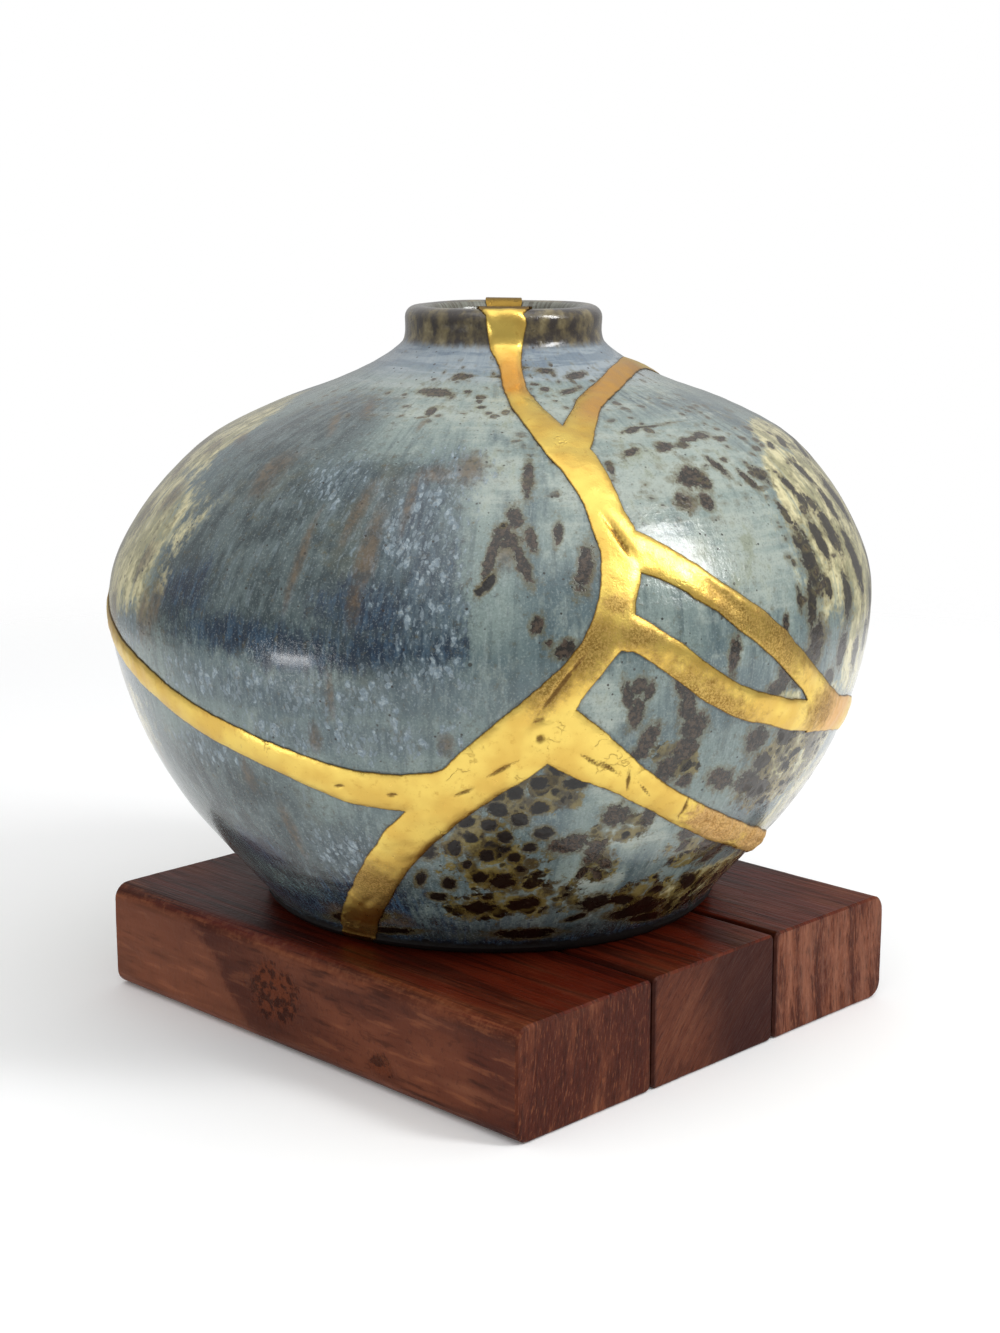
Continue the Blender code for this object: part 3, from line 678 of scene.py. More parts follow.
def gold_outline(piece):
    """Which vertices are on the gold's outer face, and points along that face's outline."""
    mesh = piece.data
    places = vertex_places(mesh)
    depth = wheel_places(places)[3]
    outer = depth < -0.5 * GOLD_PROUD
    shape = bmesh.new()
    shape.from_mesh(mesh)
    points = []
    shape.verts.ensure_lookup_table()
    for edge in shape.edges:
        first, second = edge.verts
        if not (outer[first.index] and outer[second.index]):
            continue
        sides = sum(all(outer[v.index] for v in face.verts) for face in edge.link_faces)
        if sides == 1:
            points += [first.co.lerp(second.co, t) for t in (0, 0.25, 0.5, 0.75)]
    shape.free()
    return outer, points


def point_tree(points):
    tree = KDTree(len(points))
    for i, point in enumerate(points):
        tree.insert(point, i)
    tree.balance()
    return tree


def finish_gold(piece, outer, seam_tree, gold):
    places = vertex_places(piece.data)
    wheel = wheel_places(places)
    longitude, climb, _, depth = wheel
    gap = np.array([seam_tree.find(p)[2] for p in places])
    lumps = sum(height * noise_at(places, size) for height, size in GOLD_LUMPS)
    crumbs = np.minimum(CRUMB_HEIGHT * abs(noise_at(places, CRUMB_SIZE)), CRUMB_TOP) - CRUMB_SINK
    lumps += np.clip(2 * marked(wheel, GOLD_MARKS["tan"]) - 0.6, 0, 1) * crumbs
    on_rim = np.clip((climb / MM - NECK_CLIMB) / (COLLAR_HEIGHT / MM) - 0.4, 0, 1)
    lumps += on_rim * RIM_LUMP_HEIGHT * noise_at(places, RIM_LUMP_SIZE)
    for mark in GOLD_RELIEF:
        lumps += mark[5] * MM * np.exp(-mark_distance(wheel, mark) ** 2)
    crown = (GOLD_EDGE_DROP + GOLD_CROWN) * (1 - np.exp(-gap / GOLD_SHOULDER)) - GOLD_EDGE_DROP
    rise = crown + lumps * np.clip(gap / MM, 0, 1)
    rise = np.where(outer, rise, 0)
    rise += np.clip(1 - depth / RELIEF_DEPTH, 0, 1) * throwing_relief(longitude, climb, 0.15 * RING_HEIGHT)
    for name, marks in GOLD_MARKS.items():
        paint(piece, name, marked(wheel, marks))
    paint(piece, "seam_gap", np.where(outer, gap / MM, 0))
    places += outward(longitude, climb) * rise[:, None]
    move_vertices(piece.data, places)
    stand_on_block(piece)
    give_finish(piece, gold, GOLD_BEND)
    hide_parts("gold_seams")
    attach(piece, "root")


def tone(red, green, blue):
    """A colour as seen, 0 to 255, as the light that it returns."""
    shares = [c / 255 for c in (red, green, blue)]
    return (*[s / 12.92 if s <= 0.04045 else ((s + 0.055) / 1.055) ** 2.4 for s in shares], 1.0)


class Signal:
    """A value in a finish's nodes, which can be written in sums."""

    def __init__(self, finish, socket):
        self.finish = finish
        self.socket = socket

    def math(self, operation, *others):
        return self.finish.node("ShaderNodeMath", {"operation": operation}, [self, *others])

    def __add__(self, other):
        return self.math("ADD", other)

    __radd__ = __add__

    def __sub__(self, other):
        return self.math("SUBTRACT", other)

    def __rsub__(self, other):
        return self.finish.node("ShaderNodeMath", {"operation": "SUBTRACT"}, [other, self])

    def __mul__(self, other):
        return self.math("MULTIPLY", other)

    __rmul__ = __mul__

    def ramp(self, low, high):
        """0 below the low value and 1 above the high one, with a smooth step between."""
        kind = {"interpolation_type": "SMOOTHSTEP"}
        ends = {"Value": self, "From Min": low, "From Max": high}
        return self.finish.node("ShaderNodeMapRange", kind, ends)


# How far up the wall the collar starts, in mm
NECK_CLIMB = wheel_place(0, 68.6)[1] / MM


class Finish:
    """A material, with what its nodes are made from, and the colour that it has so far."""

    def __init__(self, name):
        self.material = bpy.data.materials.new(name)
        self.material.use_nodes = True
        self.tree = self.material.node_tree
        self.shader = self.tree.nodes["Principled BSDF"]
        self.colour = None

    def node(self, kind, settings, inputs, output=0):
        made = self.tree.nodes.new(kind)
        for key, value in settings.items():
            setattr(made, key, value)
        for key, value in inputs.items() if isinstance(inputs, dict) else enumerate(inputs):
            self.feed(made.inputs[key], value)
        return Signal(self, made.outputs[output])

    def feed(self, socket, value):
        if isinstance(value, Signal):
            self.tree.links.new(value.socket, socket)
        else:
            socket.default_value = value

    def vector(self, operation, *inputs, output=0):
        return self.node("ShaderNodeVectorMath", {"operation": operation}, inputs, output)

    def part(self, place, axis):
        return self.node("ShaderNodeSeparateXYZ", {}, [place], axis)

    def painted(self, name, output="Fac"):
        return self.node("ShaderNodeAttribute", {"attribute_name": name}, {}, output)

    def place(self):
        return self.node("ShaderNodeTexCoord", {}, {}, "Object")

    def scaled(self, place, size, shift=0.0):
        """The place in units of a grain size in mm, one number or three."""
        sizes = size if isinstance(size, tuple) else (size, size, size)
        scale = [1 / (s * MM) for s in sizes]
        return self.vector("MULTIPLY_ADD", place, scale, (shift, shift, shift))

    def swing(self, place, size, shift, detail, roughness):
        """Noise with this size in mm, mostly between -1 and 1."""
        settings = {"Vector": self.scaled(place, size, shift), "Scale": 1.0, "Detail": detail,
                    "Roughness": roughness}
        return (self.node("ShaderNodeTexNoise", {}, settings) - 0.5) * 5

    def climb(self, wheel):
        """The distance up the wall in mm."""
        return self.part(wheel, "Z") * (1 / MM)

    def cells(self, place, size, shift, output="Distance"):
        """How far the nearest cell's middle is, or its chance colour, with cells of this size in mm."""
        settings = {"Vector": self.scaled(place, size, shift), "Scale": 1.0}
        return self.node("ShaderNodeTexVoronoi", {}, settings, output)

    def blend(self, mask, under, over):
        """The under colour where the mask is 0 and the over colour where it is 1. A colour is a signal,
        or red, green and blue as seen, 0 to 255."""
        under, over = (c if isinstance(c, Signal) else tone(*c) for c in (under, over))
        return self.node("ShaderNodeMix", {"data_type": "RGBA"}, {0: mask, 6: under, 7: over}, 2)

    def lay(self, mask, over):
        """Lays a colour over what the finish has so far, as far as the mask says."""
        self.colour = self.blend(mask, self.colour, over)

    def done(self, roughness, height, depth, metallic=0.0, coat=0.0):
        """Feeds the shader. The height is in mm, and the depth says how much of it the bump shows."""
        bump = self.node("ShaderNodeBump", {}, {"Strength": depth, "Distance": MM, "Height": height})
        self.feed(self.shader.inputs["Base Color"], self.colour)
        self.feed(self.shader.inputs["Roughness"], roughness)
        self.feed(self.shader.inputs["Normal"], bump)
        self.feed(self.shader.inputs["Metallic"], metallic)
        self.feed(self.shader.inputs["Coat Weight"], coat)
        return self.material


# How far the glaze's round spots are pulled out of shape
SPOT_WARP = 2.6 * MM
# How far up the wall the foot band runs, in mm: unglazed clay, painted near black with the shade where the
# vase meets the block. And where the neck's blue blush starts and is full
BARE_AND_SHADED_END, BARE_AND_SHADED_START = 2.4, 3.6
BLUSH_START, BLUSH_FULL = NECK_CLIMB - 17, NECK_CLIMB - 5


def iron_spots(f, wheel, width, height, shift, least, most, frayed, halo):
    """Round iron spots, one to each cell of this width and height in mm, and from the least size to the
    most, as shares of the cell. Returns the spots and the halo round them."""
    cell = (width, width, height)
    near = f.cells(wheel, cell, shift)
    draw = f.cells(wheel, cell, shift, "Color")
    reach_of_spot = draw * (most - least) + (least + frayed)
    return (reach_of_spot - near).ramp(-0.04, 0.08), (reach_of_spot - near + halo).ramp(-0.12, 0.2)


def glaze_finish():
    """The stoneware glaze: slate and pale blue-grey that ran down the wall, with frost, olive iron
    zones, leopard spots, rust stains and dark blotches."""
    f = Finish("stoneware_glaze")
    spot = f.place()
    wheel = f.painted("wheel", "Vector")
    dust = f.swing(spot, 0.42, 3.0, 2.0, 0.6)
    fine = f.swing(spot, 0.85, 11.0, 3.0, 0.65)
    speck = f.swing(spot, 1.9, 7.0, 3.0, 0.6)
    patch = f.swing(wheel, (5, 5, 7), 17.0, 4.0, 0.65)
    cloud = f.swing(wheel, (17, 17, 24), 1.0, 3.0, 0.55)
    runs = f.swing(wheel, (2.4, 2.4, 22), 5.0, 4.0, 0.6)
    fine_runs = f.swing(wheel, (1.1, 1.1, 4.2), 9.0, 3.0, 0.6)
    bands = f.swing(wheel, (60, 60, 2.6), 2.0, 4.0, 0.65)
    small = speck * 0.3 + fine * 0.26 + dust * 0.08
    ragged = runs * 0.3 + patch * 0.3 + small * 0.6

    f.colour = f.blend(cloud.ramp(-0.7, 0.7), (86, 104, 108), (122, 138, 134))
    f.lay(patch.ramp(0.0, 0.9) * 0.6, (148, 160, 152))
    f.lay(runs.ramp(0.1, -0.9) * 0.5, (62, 78, 82))
    f.lay(fine_runs.ramp(0.1, 1.0) * 0.32, (154, 167, 164))
    pale = f.painted("pale")
    f.lay((pale + ragged * 0.5).ramp(0.2, 0.8) * 0.9, (142, 157, 150))
    f.lay((pale + bands * 0.3 + patch * 0.25).ramp(0.4, 1.0) * 0.7, (174, 182, 172))
    f.lay((pale + patch * 0.5).ramp(0.8, 1.3) * 0.6, (128, 134, 106))
    slate = (f.painted("slate") + ragged * 0.4).ramp(0.2, 0.6)
    slate_tone = f.blend((patch + runs * 0.6).ramp(-0.6, 0.6), (44, 58, 62), (84, 98, 99))
    slate_tone = f.blend((cloud + speck * 0.3).ramp(0.1, 0.8) * 0.5, slate_tone, (92, 96, 82))
    slate_tone = f.blend((fine_runs + patch * 0.5).ramp(0.3, 1.1) * 0.5, slate_tone, (116, 131, 138))
    f.lay(slate * 0.94, slate_tone)
    navy = (f.painted("navy") + ragged * 0.7 + cloud * 0.08).ramp(0.2, 0.78)
    navy_tone = f.blend((fine_runs + runs * 0.5 + speck * 0.3).ramp(-0.4, 0.9), (12, 32, 54), (48, 74, 96))
    f.lay(navy * 0.95, navy_tone)
    frost = f.painted("frost")
    crystal_tone = f.blend(fine.ramp(-0.5, 0.7), (112, 130, 142), (168, 183, 190))
    gap_tone = f.blend(fine_runs.ramp(-0.6, 0.4), (50, 68, 80), (88, 104, 110))
    f.lay(frost.ramp(0.3, 0.75) * 0.6, gap_tone)
    coarse = {"Vector": f.scaled(spot, SPOT_WARP / MM), "Scale": 1.0, "Detail": 2.0}
    warp = f.node("ShaderNodeTexNoise", {}, coarse, "Color")
    bent = f.vector("MULTIPLY_ADD", warp, (SPOT_WARP, SPOT_WARP, SPOT_WARP), wheel)
    grown = (frost - 0.4) * 0.4 + patch * 0.12 + small * 0.16
    crystals, rime = iron_spots(f, bent, 1.5, 2.8, 13.0, -0.34, 0.5, grown, 0.2)
    needles, _ = iron_spots(f, bent, 0.8, 1.9, 17.0, -0.3, 0.56, grown, 0.2)
    frosted = frost.ramp(0.05, 0.45)
    f.lay(rime * frosted * 0.4, (102, 118, 126))
    f.lay(needles * frosted * 0.6, (128, 143, 152))
    f.lay(crystals * frosted * 0.7, crystal_tone)
    f.lay(speck.ramp(0.0, 1.0) * 0.22, (54, 66, 64))
    f.lay(dust.ramp(0.1, 1.0) * 0.24, (56, 68, 68))
    f.lay(dust.ramp(-0.2, -1.0) * 0.2, (184, 194, 190))
    neck_blush = (f.climb(wheel) + bands * 3).ramp(BLUSH_START, BLUSH_FULL)
    f.lay(neck_blush * 0.65, f.blend(bands.ramp(-0.3, 0.3), (104, 120, 142), (146, 158, 172)))

    olive = (f.painted("olive") + patch * 0.08 + cloud * 0.06 + small * 0.14).ramp(0.42, 0.58)
    olive_tone = f.blend(patch.ramp(-0.5, 0.5), (157, 152, 108), (224, 214, 164))
    olive_tone = f.blend((runs + patch * 0.5).ramp(0.3, 0.9) * 0.7, olive_tone, (140, 150, 134))
    olive_tone = f.blend((speck + cloud * 0.4).ramp(0.2, 0.9) * 0.55, olive_tone, (112, 108, 70))
    f.lay(olive * 0.92, olive_tone)

    leopard = (f.painted("leopard") + patch * 0.14 + small * 0.3).ramp(0.34, 0.5)
    spots, halo = iron_spots(f, bent, 4.3, 3.7, 4.0, 0.06, 0.62, small * 0.05, 0.42)
    dots, dot_halo = iron_spots(f, bent, 2.4, 2.0, 8.0, -0.1, 0.54, small * 0.05, 0.3)
    spots = spots.math("MAXIMUM", dots * 0.85)
    halo = halo.math("MAXIMUM", dot_halo * 0.9)
    net_tone = f.blend((patch + speck * 0.4).ramp(-0.5, 0.5), (62, 50, 20), (122, 108, 56))
    f.lay(leopard * halo * 0.92, net_tone)
    spot_tone = f.blend(small.ramp(0.2, 0.8), (5, 4, 4), (28, 21, 14))
    f.lay(leopard * spots * 0.97, spot_tone)

    rust = (f.painted("rust") + ragged * 0.55).ramp(0.3, 0.9)
    rust_tone = f.blend(speck.ramp(-0.5, 0.6), (104, 84, 58), (60, 54, 45))
    f.lay(rust * 0.72, rust_tone)

    blotch_field = f.painted("blotch") + small * 0.5
    f.lay(blotch_field.ramp(0.06, 0.46) * 0.62, (98, 88, 52))
    blotch = blotch_field.ramp(0.38, 0.56)
    blotch_tone = f.blend((fine + blotch_field * 0.6).ramp(0.1, 1.0), (24, 18, 16), (72, 58, 48))
    blotch_tone = f.blend(f.painted("olive").ramp(0.2, 0.5) * 0.85, blotch_tone, (20, 14, 10))
    f.lay(blotch * 0.94, blotch_tone)
    black_field = f.painted("black") + small * 0.4
    f.lay(black_field.ramp(0.05, 0.45) * 0.75, (88, 74, 32))
    black = black_field.ramp(0.38, 0.54)
    f.lay(black * 0.97, (9, 6, 5))

    dash_field = (f.painted("dashes") + bands * 0.16 + patch * 0.14).ramp(0.3, 0.62)
    dash, dash_halo = iron_spots(f, bent, 4.6, 2.4, 21.0, -0.26, 0.56, small * 0.08, 0.22)
    f.lay(dash_halo * dash_field * 0.4, (104, 96, 62))
    f.lay(dash * dash_field * 0.9, f.blend(fine.ramp(-0.3, 0.6), (42, 32, 24), (88, 76, 50)))
    flecks = (f.cells(spot, 2.3, 31.0) + speck * 0.1).ramp(0.1, 0.03)
    f.lay(flecks * 0.75, (44, 36, 28))
    pinholes = f.cells(spot, 3.9, 33.0).ramp(0.075, 0.045)
    f.lay(pinholes * 0.85, (36, 30, 24))

    drip = f.swing(spot, (3.2, 3.2, 4.4), 41.0, 3.0, 0.5)
    collar = (f.climb(wheel) + patch * 0.5 + speck * 0.3).ramp(NECK_CLIMB - 0.9, NECK_CLIMB + 1.3)
    collar_tone = f.blend((speck * 0.4 + drip).ramp(-0.9, 0.8), (118, 104, 66), (42, 29, 15))
    lighter = (fine * 0.5 + speck * 0.4 - drip).ramp(0.3, 1.4)
    collar_tone = f.blend(lighter * 0.6, collar_tone, (150, 138, 100))
    f.lay(collar * 0.95, collar_tone)
    # The foot band: unglazed clay, and painted shade where the vase meets the block, laid near black
    bare_and_shaded = (f.climb(wheel) + speck * 0.6).ramp(BARE_AND_SHADED_START, BARE_AND_SHADED_END)
    f.lay(bare_and_shaded, (12, 8, 6))

    # Painted shade: a thin dark brown line in the glaze along the gold's edges, where the two meet
    outline = (f.painted("seam_gap") + small * 0.5).ramp(0.85, 0.25)
    f.lay(outline * 0.75, (44, 32, 14))
    inside_tone = f.blend(runs.ramp(-0.5, 0.5), (78, 74, 60), (116, 118, 106))
    f.lay(f.painted("inside"), inside_tone)

    dark = blotch * 0.5 + (leopard * spots).math("MAXIMUM", black)
    roughness = 0.16 + speck * 0.04 + crystals * 0.05 + bare_and_shaded * 0.5 + dark * 0.14 - collar * 0.03
    crinkle = f.painted("crinkle").ramp(0.2, 0.8)
    skin = speck * 0.024 + fine * (0.013 + crinkle * 0.02) - pinholes * 0.12 - blotch * 0.08 - black * 0.05
    skin = skin + fine_runs * 0.008 + runs * 0.01 + dust * 0.003
    f.shader.inputs["Coat Roughness"].default_value = 0.11
    f.shader.inputs["Specular IOR Level"].default_value = 0.42
    return f.done(roughness, skin, 1.0, coat=0.42 - bare_and_shaded * 0.4 + speck * 0.1 - dark * 0.25 + collar * 0.3)


def gold_finish():
    """Gold powder and leaf on lacquer: satin, tan and crumbly at one end, with painted shade in its
    creases and wrinkles, along its edges and where it is shadowed or faces down.
    """
    f = Finish("gold_lacquer")
    spot = f.place()
    fine = f.swing(spot, 0.4, 3.0, 3.0, 0.7)
    brushed = f.swing(spot, 1.7, 8.0, 4.0, 0.65)
    cloud = f.swing(spot, 8.0, 5.0, 2.0, 0.5)
    shaded_wrinkle = (f.swing(spot, 3.4, 15.0, 2.0, 0.5).math("ABSOLUTE") + fine * 0.02).ramp(0.1, 0.0)
    shaded_wrinkle = shaded_wrinkle * (brushed * 0.4 + cloud).ramp(0.5, 0.9)
    f.colour = f.blend(cloud.ramp(-0.7, 0.7), (222, 184, 92), (238, 207, 108))
    f.lay((brushed + fine * 0.3).ramp(0.3, 1.1) * 0.4, (196, 150, 68))
    f.lay(f.painted("orange").ramp(0.25, 0.75) * 0.85, (222, 166, 88))
    # Dull satin gold, darker where shade is painted: the shadowed left edge and the downward-facing leg
    dull_and_shaded = (f.painted("dull_and_shaded") + brushed * 0.18 + fine * 0.16).ramp(0.3, 0.8)
    f.lay(dull_and_shaded * 0.8, f.blend(fine.ramp(-0.6, 0.6), (116, 84, 38), (196, 162, 96)))
    tan = (f.painted("tan") + brushed * 0.14).ramp(0.38, 0.62)
    f.lay(tan * 0.85, f.blend(fine.ramp(-0.6, 0.6), (176, 130, 76), (224, 184, 124)))
    # Painted shade: the gold is laid darker brown in its creases and fine wrinkles, which also sink
    shaded_crease = (f.painted("shaded_crease") + brushed * 0.06 + fine * 0.03).ramp(0.7, 0.9)
    f.lay(shaded_crease * 0.8, (96, 62, 18))
    f.lay(shaded_wrinkle * 0.3, (140, 98, 34))
    # Painted shade: the gold is laid brown along its own edges, where it meets the glaze
    rim = (f.painted("seam_gap") + fine * 0.08 + brushed * 0.06).ramp(0.3, 0.04)
    f.lay(rim * 0.8, (104, 70, 22))
    roughness = 0.32 + brushed * 0.05 + dull_and_shaded * 0.14 + tan * 0.26 + shaded_crease * 0.3
    height = fine * 0.008 + brushed * 0.018 + tan * fine * 0.03 - shaded_wrinkle * 0.07 - shaded_crease * 0.12
    return f.done(roughness, height, 1.0, metallic=1.0 - shaded_crease * 0.4 - tan * 0.45)


# Each plank's heart, as (across, height) in mm from the plank's middle: where its rings are centred
PLANK_HEARTS = {"plank_left": (-150, 18), "plank_middle": (90, -80), "plank_right": (170, 10)}
# How far out from the vase's axis the wood's top stays dark and red: painted shadow and reflection of the
# vase, and the gloss of oiled wood
VASE_SHADE_REACH = 0.095
# How far from a joint its dark line fades out, and is at its darkest, and how deep a knot reaches
JOINT_FADE, JOINT_DARK = 1.3 * MM, 0.4 * MM
KNOT_DEPTH = 9 * MM


# The planks' edges, as in the solids, and how far their planed faces wander
PLANK_EDGES = {"plank_left": (3.5, 1.4), "plank_middle": (1.4, 1.4), "plank_right": (1.4, 3.5)}
PLANK_END_EDGE = 0.5 * MM
PLANK_CUTS = {0: 27, 1: 110, 2: 18}
PLANING = 0.16 * MM
# Knots on the left face, as (along, height, half-length, half-height, relief) in mm
LEFT_KNOTS = ((3.0, 12.0, 8.0, 6.5, 0.5), (-29.0, 5.5, 3.6, 2.6, 0.35))
# How deep the planing's long hollows and its short chatter are as shares, how they are stretched, across,
# along and up, and how far the planed faces lie under the sawn ones
HOLLOW_SHARE, CHATTER_SHARE = 0.5, 0.25
PLANING_STRETCH = (9, 26, 9)
CHATTER_STRETCH = (2.2, 7, 2.2)
CHATTER_SHIFT = Vector((7, 7, 7))
PLANED_OFF = 0.55
# The grain of a knot's face, how far it sinks, and the steps of a rounded edge
KNOT_GRAIN, KNOT_SINK = 2.4 * MM, 0.35
EDGE_STEPS = 6


def wood_finish(node):
    """Oiled red-brown hardwood, striped along its rings, with fibres and pores along it."""
    f = Finish(f"oiled_{node}")
    low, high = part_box(node)
    middle = (low + high) / 2
    across, height = PLANK_HEARTS[node]
    heart = (middle.x + across * MM, 0, middle.z + height * MM)
    spot = f.place()
    from_heart = f.vector("MULTIPLY", f.vector("SUBTRACT", spot, heart), (1, 0, 1))
    radius = f.vector("LENGTH", from_heart, output="Value")
    x, y, z = (f.part(spot, axis) for axis in "XYZ")
    ringed = f.node("ShaderNodeCombineXYZ", {}, [radius, y, z])
    shift = across * 0.37
    fibre = f.swing(ringed, (0.5, 14, 2.2), shift, 3.0, 0.6)
    long_fibre = f.swing(ringed, (1.5, 50, 7), shift + 3, 3.0, 0.6)
    stripe = f.swing(ringed, (3.2, 80, 26), shift + 6, 3.0, 0.6)
    broad = f.swing(ringed, (11, 60, 40), shift + 12, 2.0, 0.55)
    cloud = f.swing(spot, (20, 40, 20), shift + 9, 3.0, 0.55)
    fine = f.swing(spot, 0.7, shift, 3.0, 0.6)
    dust = f.swing(spot, 1.8, shift + 2, 3.0, 0.6)
    f.colour = f.blend((broad + cloud * 0.6).ramp(-0.7, 0.7), (72, 28, 15), (112, 60, 38))
    f.lay((stripe + broad * 0.4).ramp(0.2, 0.7) * 0.6, (54, 16, 8))
    f.lay((stripe - broad * 0.3).ramp(-0.4, -1.0) * 0.6, (138, 84, 58))
    f.lay(long_fibre.ramp(0.1, 0.9) * 0.5, (50, 20, 11))
    f.lay(fibre.ramp(0.2, 1.0) * 0.55, (36, 13, 7))
    f.lay(fibre.ramp(-0.2, -1.0) * 0.4, (150, 88, 54))
    f.lay((dust + fine * 0.6).ramp(0.3, 1.1) * 0.3, (44, 18, 10))
    facing_up = f.part(f.node("ShaderNodeNewGeometry", {}, {}, "Normal"), "Z")
    side = facing_up.ramp(0.6, 0.3)
    if node == "plank_left":
        slant = (y - z) * (1 / MM)
        fresh = (slant - 9 + dust * 1.5 + long_fibre * 2 + cloud * 2).ramp(-2.5, 2.5)
        f.lay(fresh * side * 0.28, (146, 90, 64))
        shade = (slant + 14 + cloud * 8).ramp(-12, 6)
        f.lay(shade * (1 - fresh) * side * 0.35, (54, 22, 13))
    if node == "plank_middle":
        f.lay(side * 0.5, (66, 27, 16))
        red_side = ((x - low.x) * (1 / (high.x - low.x)) + broad * 0.1).ramp(0.35, 0.65)
        f.lay(side * red_side * 0.8, (46, 10, 4))
    if node == "plank_right":
        f.lay(side * (stripe + fibre * 0.4).ramp(0.5, -0.6) * 0.2, (160, 112, 92))
    # Painted shadow and reflection of the vase: the top is laid deep red towards the vase's axis, and is
    # glossier there, as oiled wood is
    from_vase = f.vector("LENGTH", spot, output="Value")
    vase_shade_and_oil = (from_vase * (1 / VASE_SHADE_REACH) + cloud * 0.14 + long_fibre * 0.08).ramp(1.12, 0.62)
    vase_shade_and_oil = vase_shade_and_oil * facing_up.ramp(0.4, 0.8)
    f.lay(vase_shade_and_oil * 0.9, f.blend((long_fibre + fibre * 0.5).ramp(-0.4, 0.6), (88, 24, 8), (48, 8, 3)))
    knot = 0
    if node == "plank_left":
        for lengthwise, high_up, half_length, half_height, _ in LEFT_KNOTS:
            gap = f.vector("SUBTRACT", spot, (low.x, lengthwise * MM, high_up * MM))
            sizes = (KNOT_DEPTH, half_length * MM, half_height * MM)
            gap = f.vector("MULTIPLY", gap, tuple(1 / size for size in sizes))
            away = f.vector("LENGTH", gap, output="Value")
            knot = knot + (away + dust * 0.2 + fine * 0.14).ramp(1.15, 0.7)
        f.lay(knot * 0.65, f.blend((fibre + dust).ramp(-0.5, 0.5), (36, 12, 7), (112, 58, 36)))
        from_edge = (x - low.x).math("ABSOLUTE") + (high.z - z)
        worn = (from_edge + (dust + fine) * (0.8 * MM)).ramp(3.4 * MM, 1.0 * MM)
    joint = 0
    if node != "plank_left":
        joint = joint + (x - low.x).ramp(JOINT_FADE, JOINT_DARK)
    if node != "plank_right":
        joint = joint + (high.x - x).ramp(JOINT_FADE, JOINT_DARK)
    f.lay(joint * 0.7, (38, 7, 3))
    if node == "plank_left":
        f.lay(worn * (fibre + dust).ramp(0.6, -0.8) * 0.24, (156, 98, 66))
    roughness = 0.5 + fibre * 0.08 + knot * 0.2 - vase_shade_and_oil * 0.16
    relief = fibre * 0.03 + long_fibre * 0.03 + fine * 0.012 + dust * 0.02 + knot * (fine + dust) * 0.1
    f.shader.inputs["Specular IOR Level"].default_value = 0.12
    return f.done(roughness, relief, 0.9)


def edges_along(mesh, axis):
    """Selects the edges that run along an axis."""
    others = [a for a in range(3) if a != axis]
    for edge in mesh.edges:
        first, second = (mesh.vertices[v].co for v in edge.vertices)
        edge.select = all(abs(first[a] - second[a]) < MM / 1000 for a in others)


def clear_choice(piece):
    """Leaves edit mode, with nothing of the piece selected."""
    bpy.ops.object.mode_set(mode="OBJECT")
    for parts in (piece.data.vertices, piece.data.edges, piece.data.polygons):
        parts.foreach_set("select", [False] * len(parts))


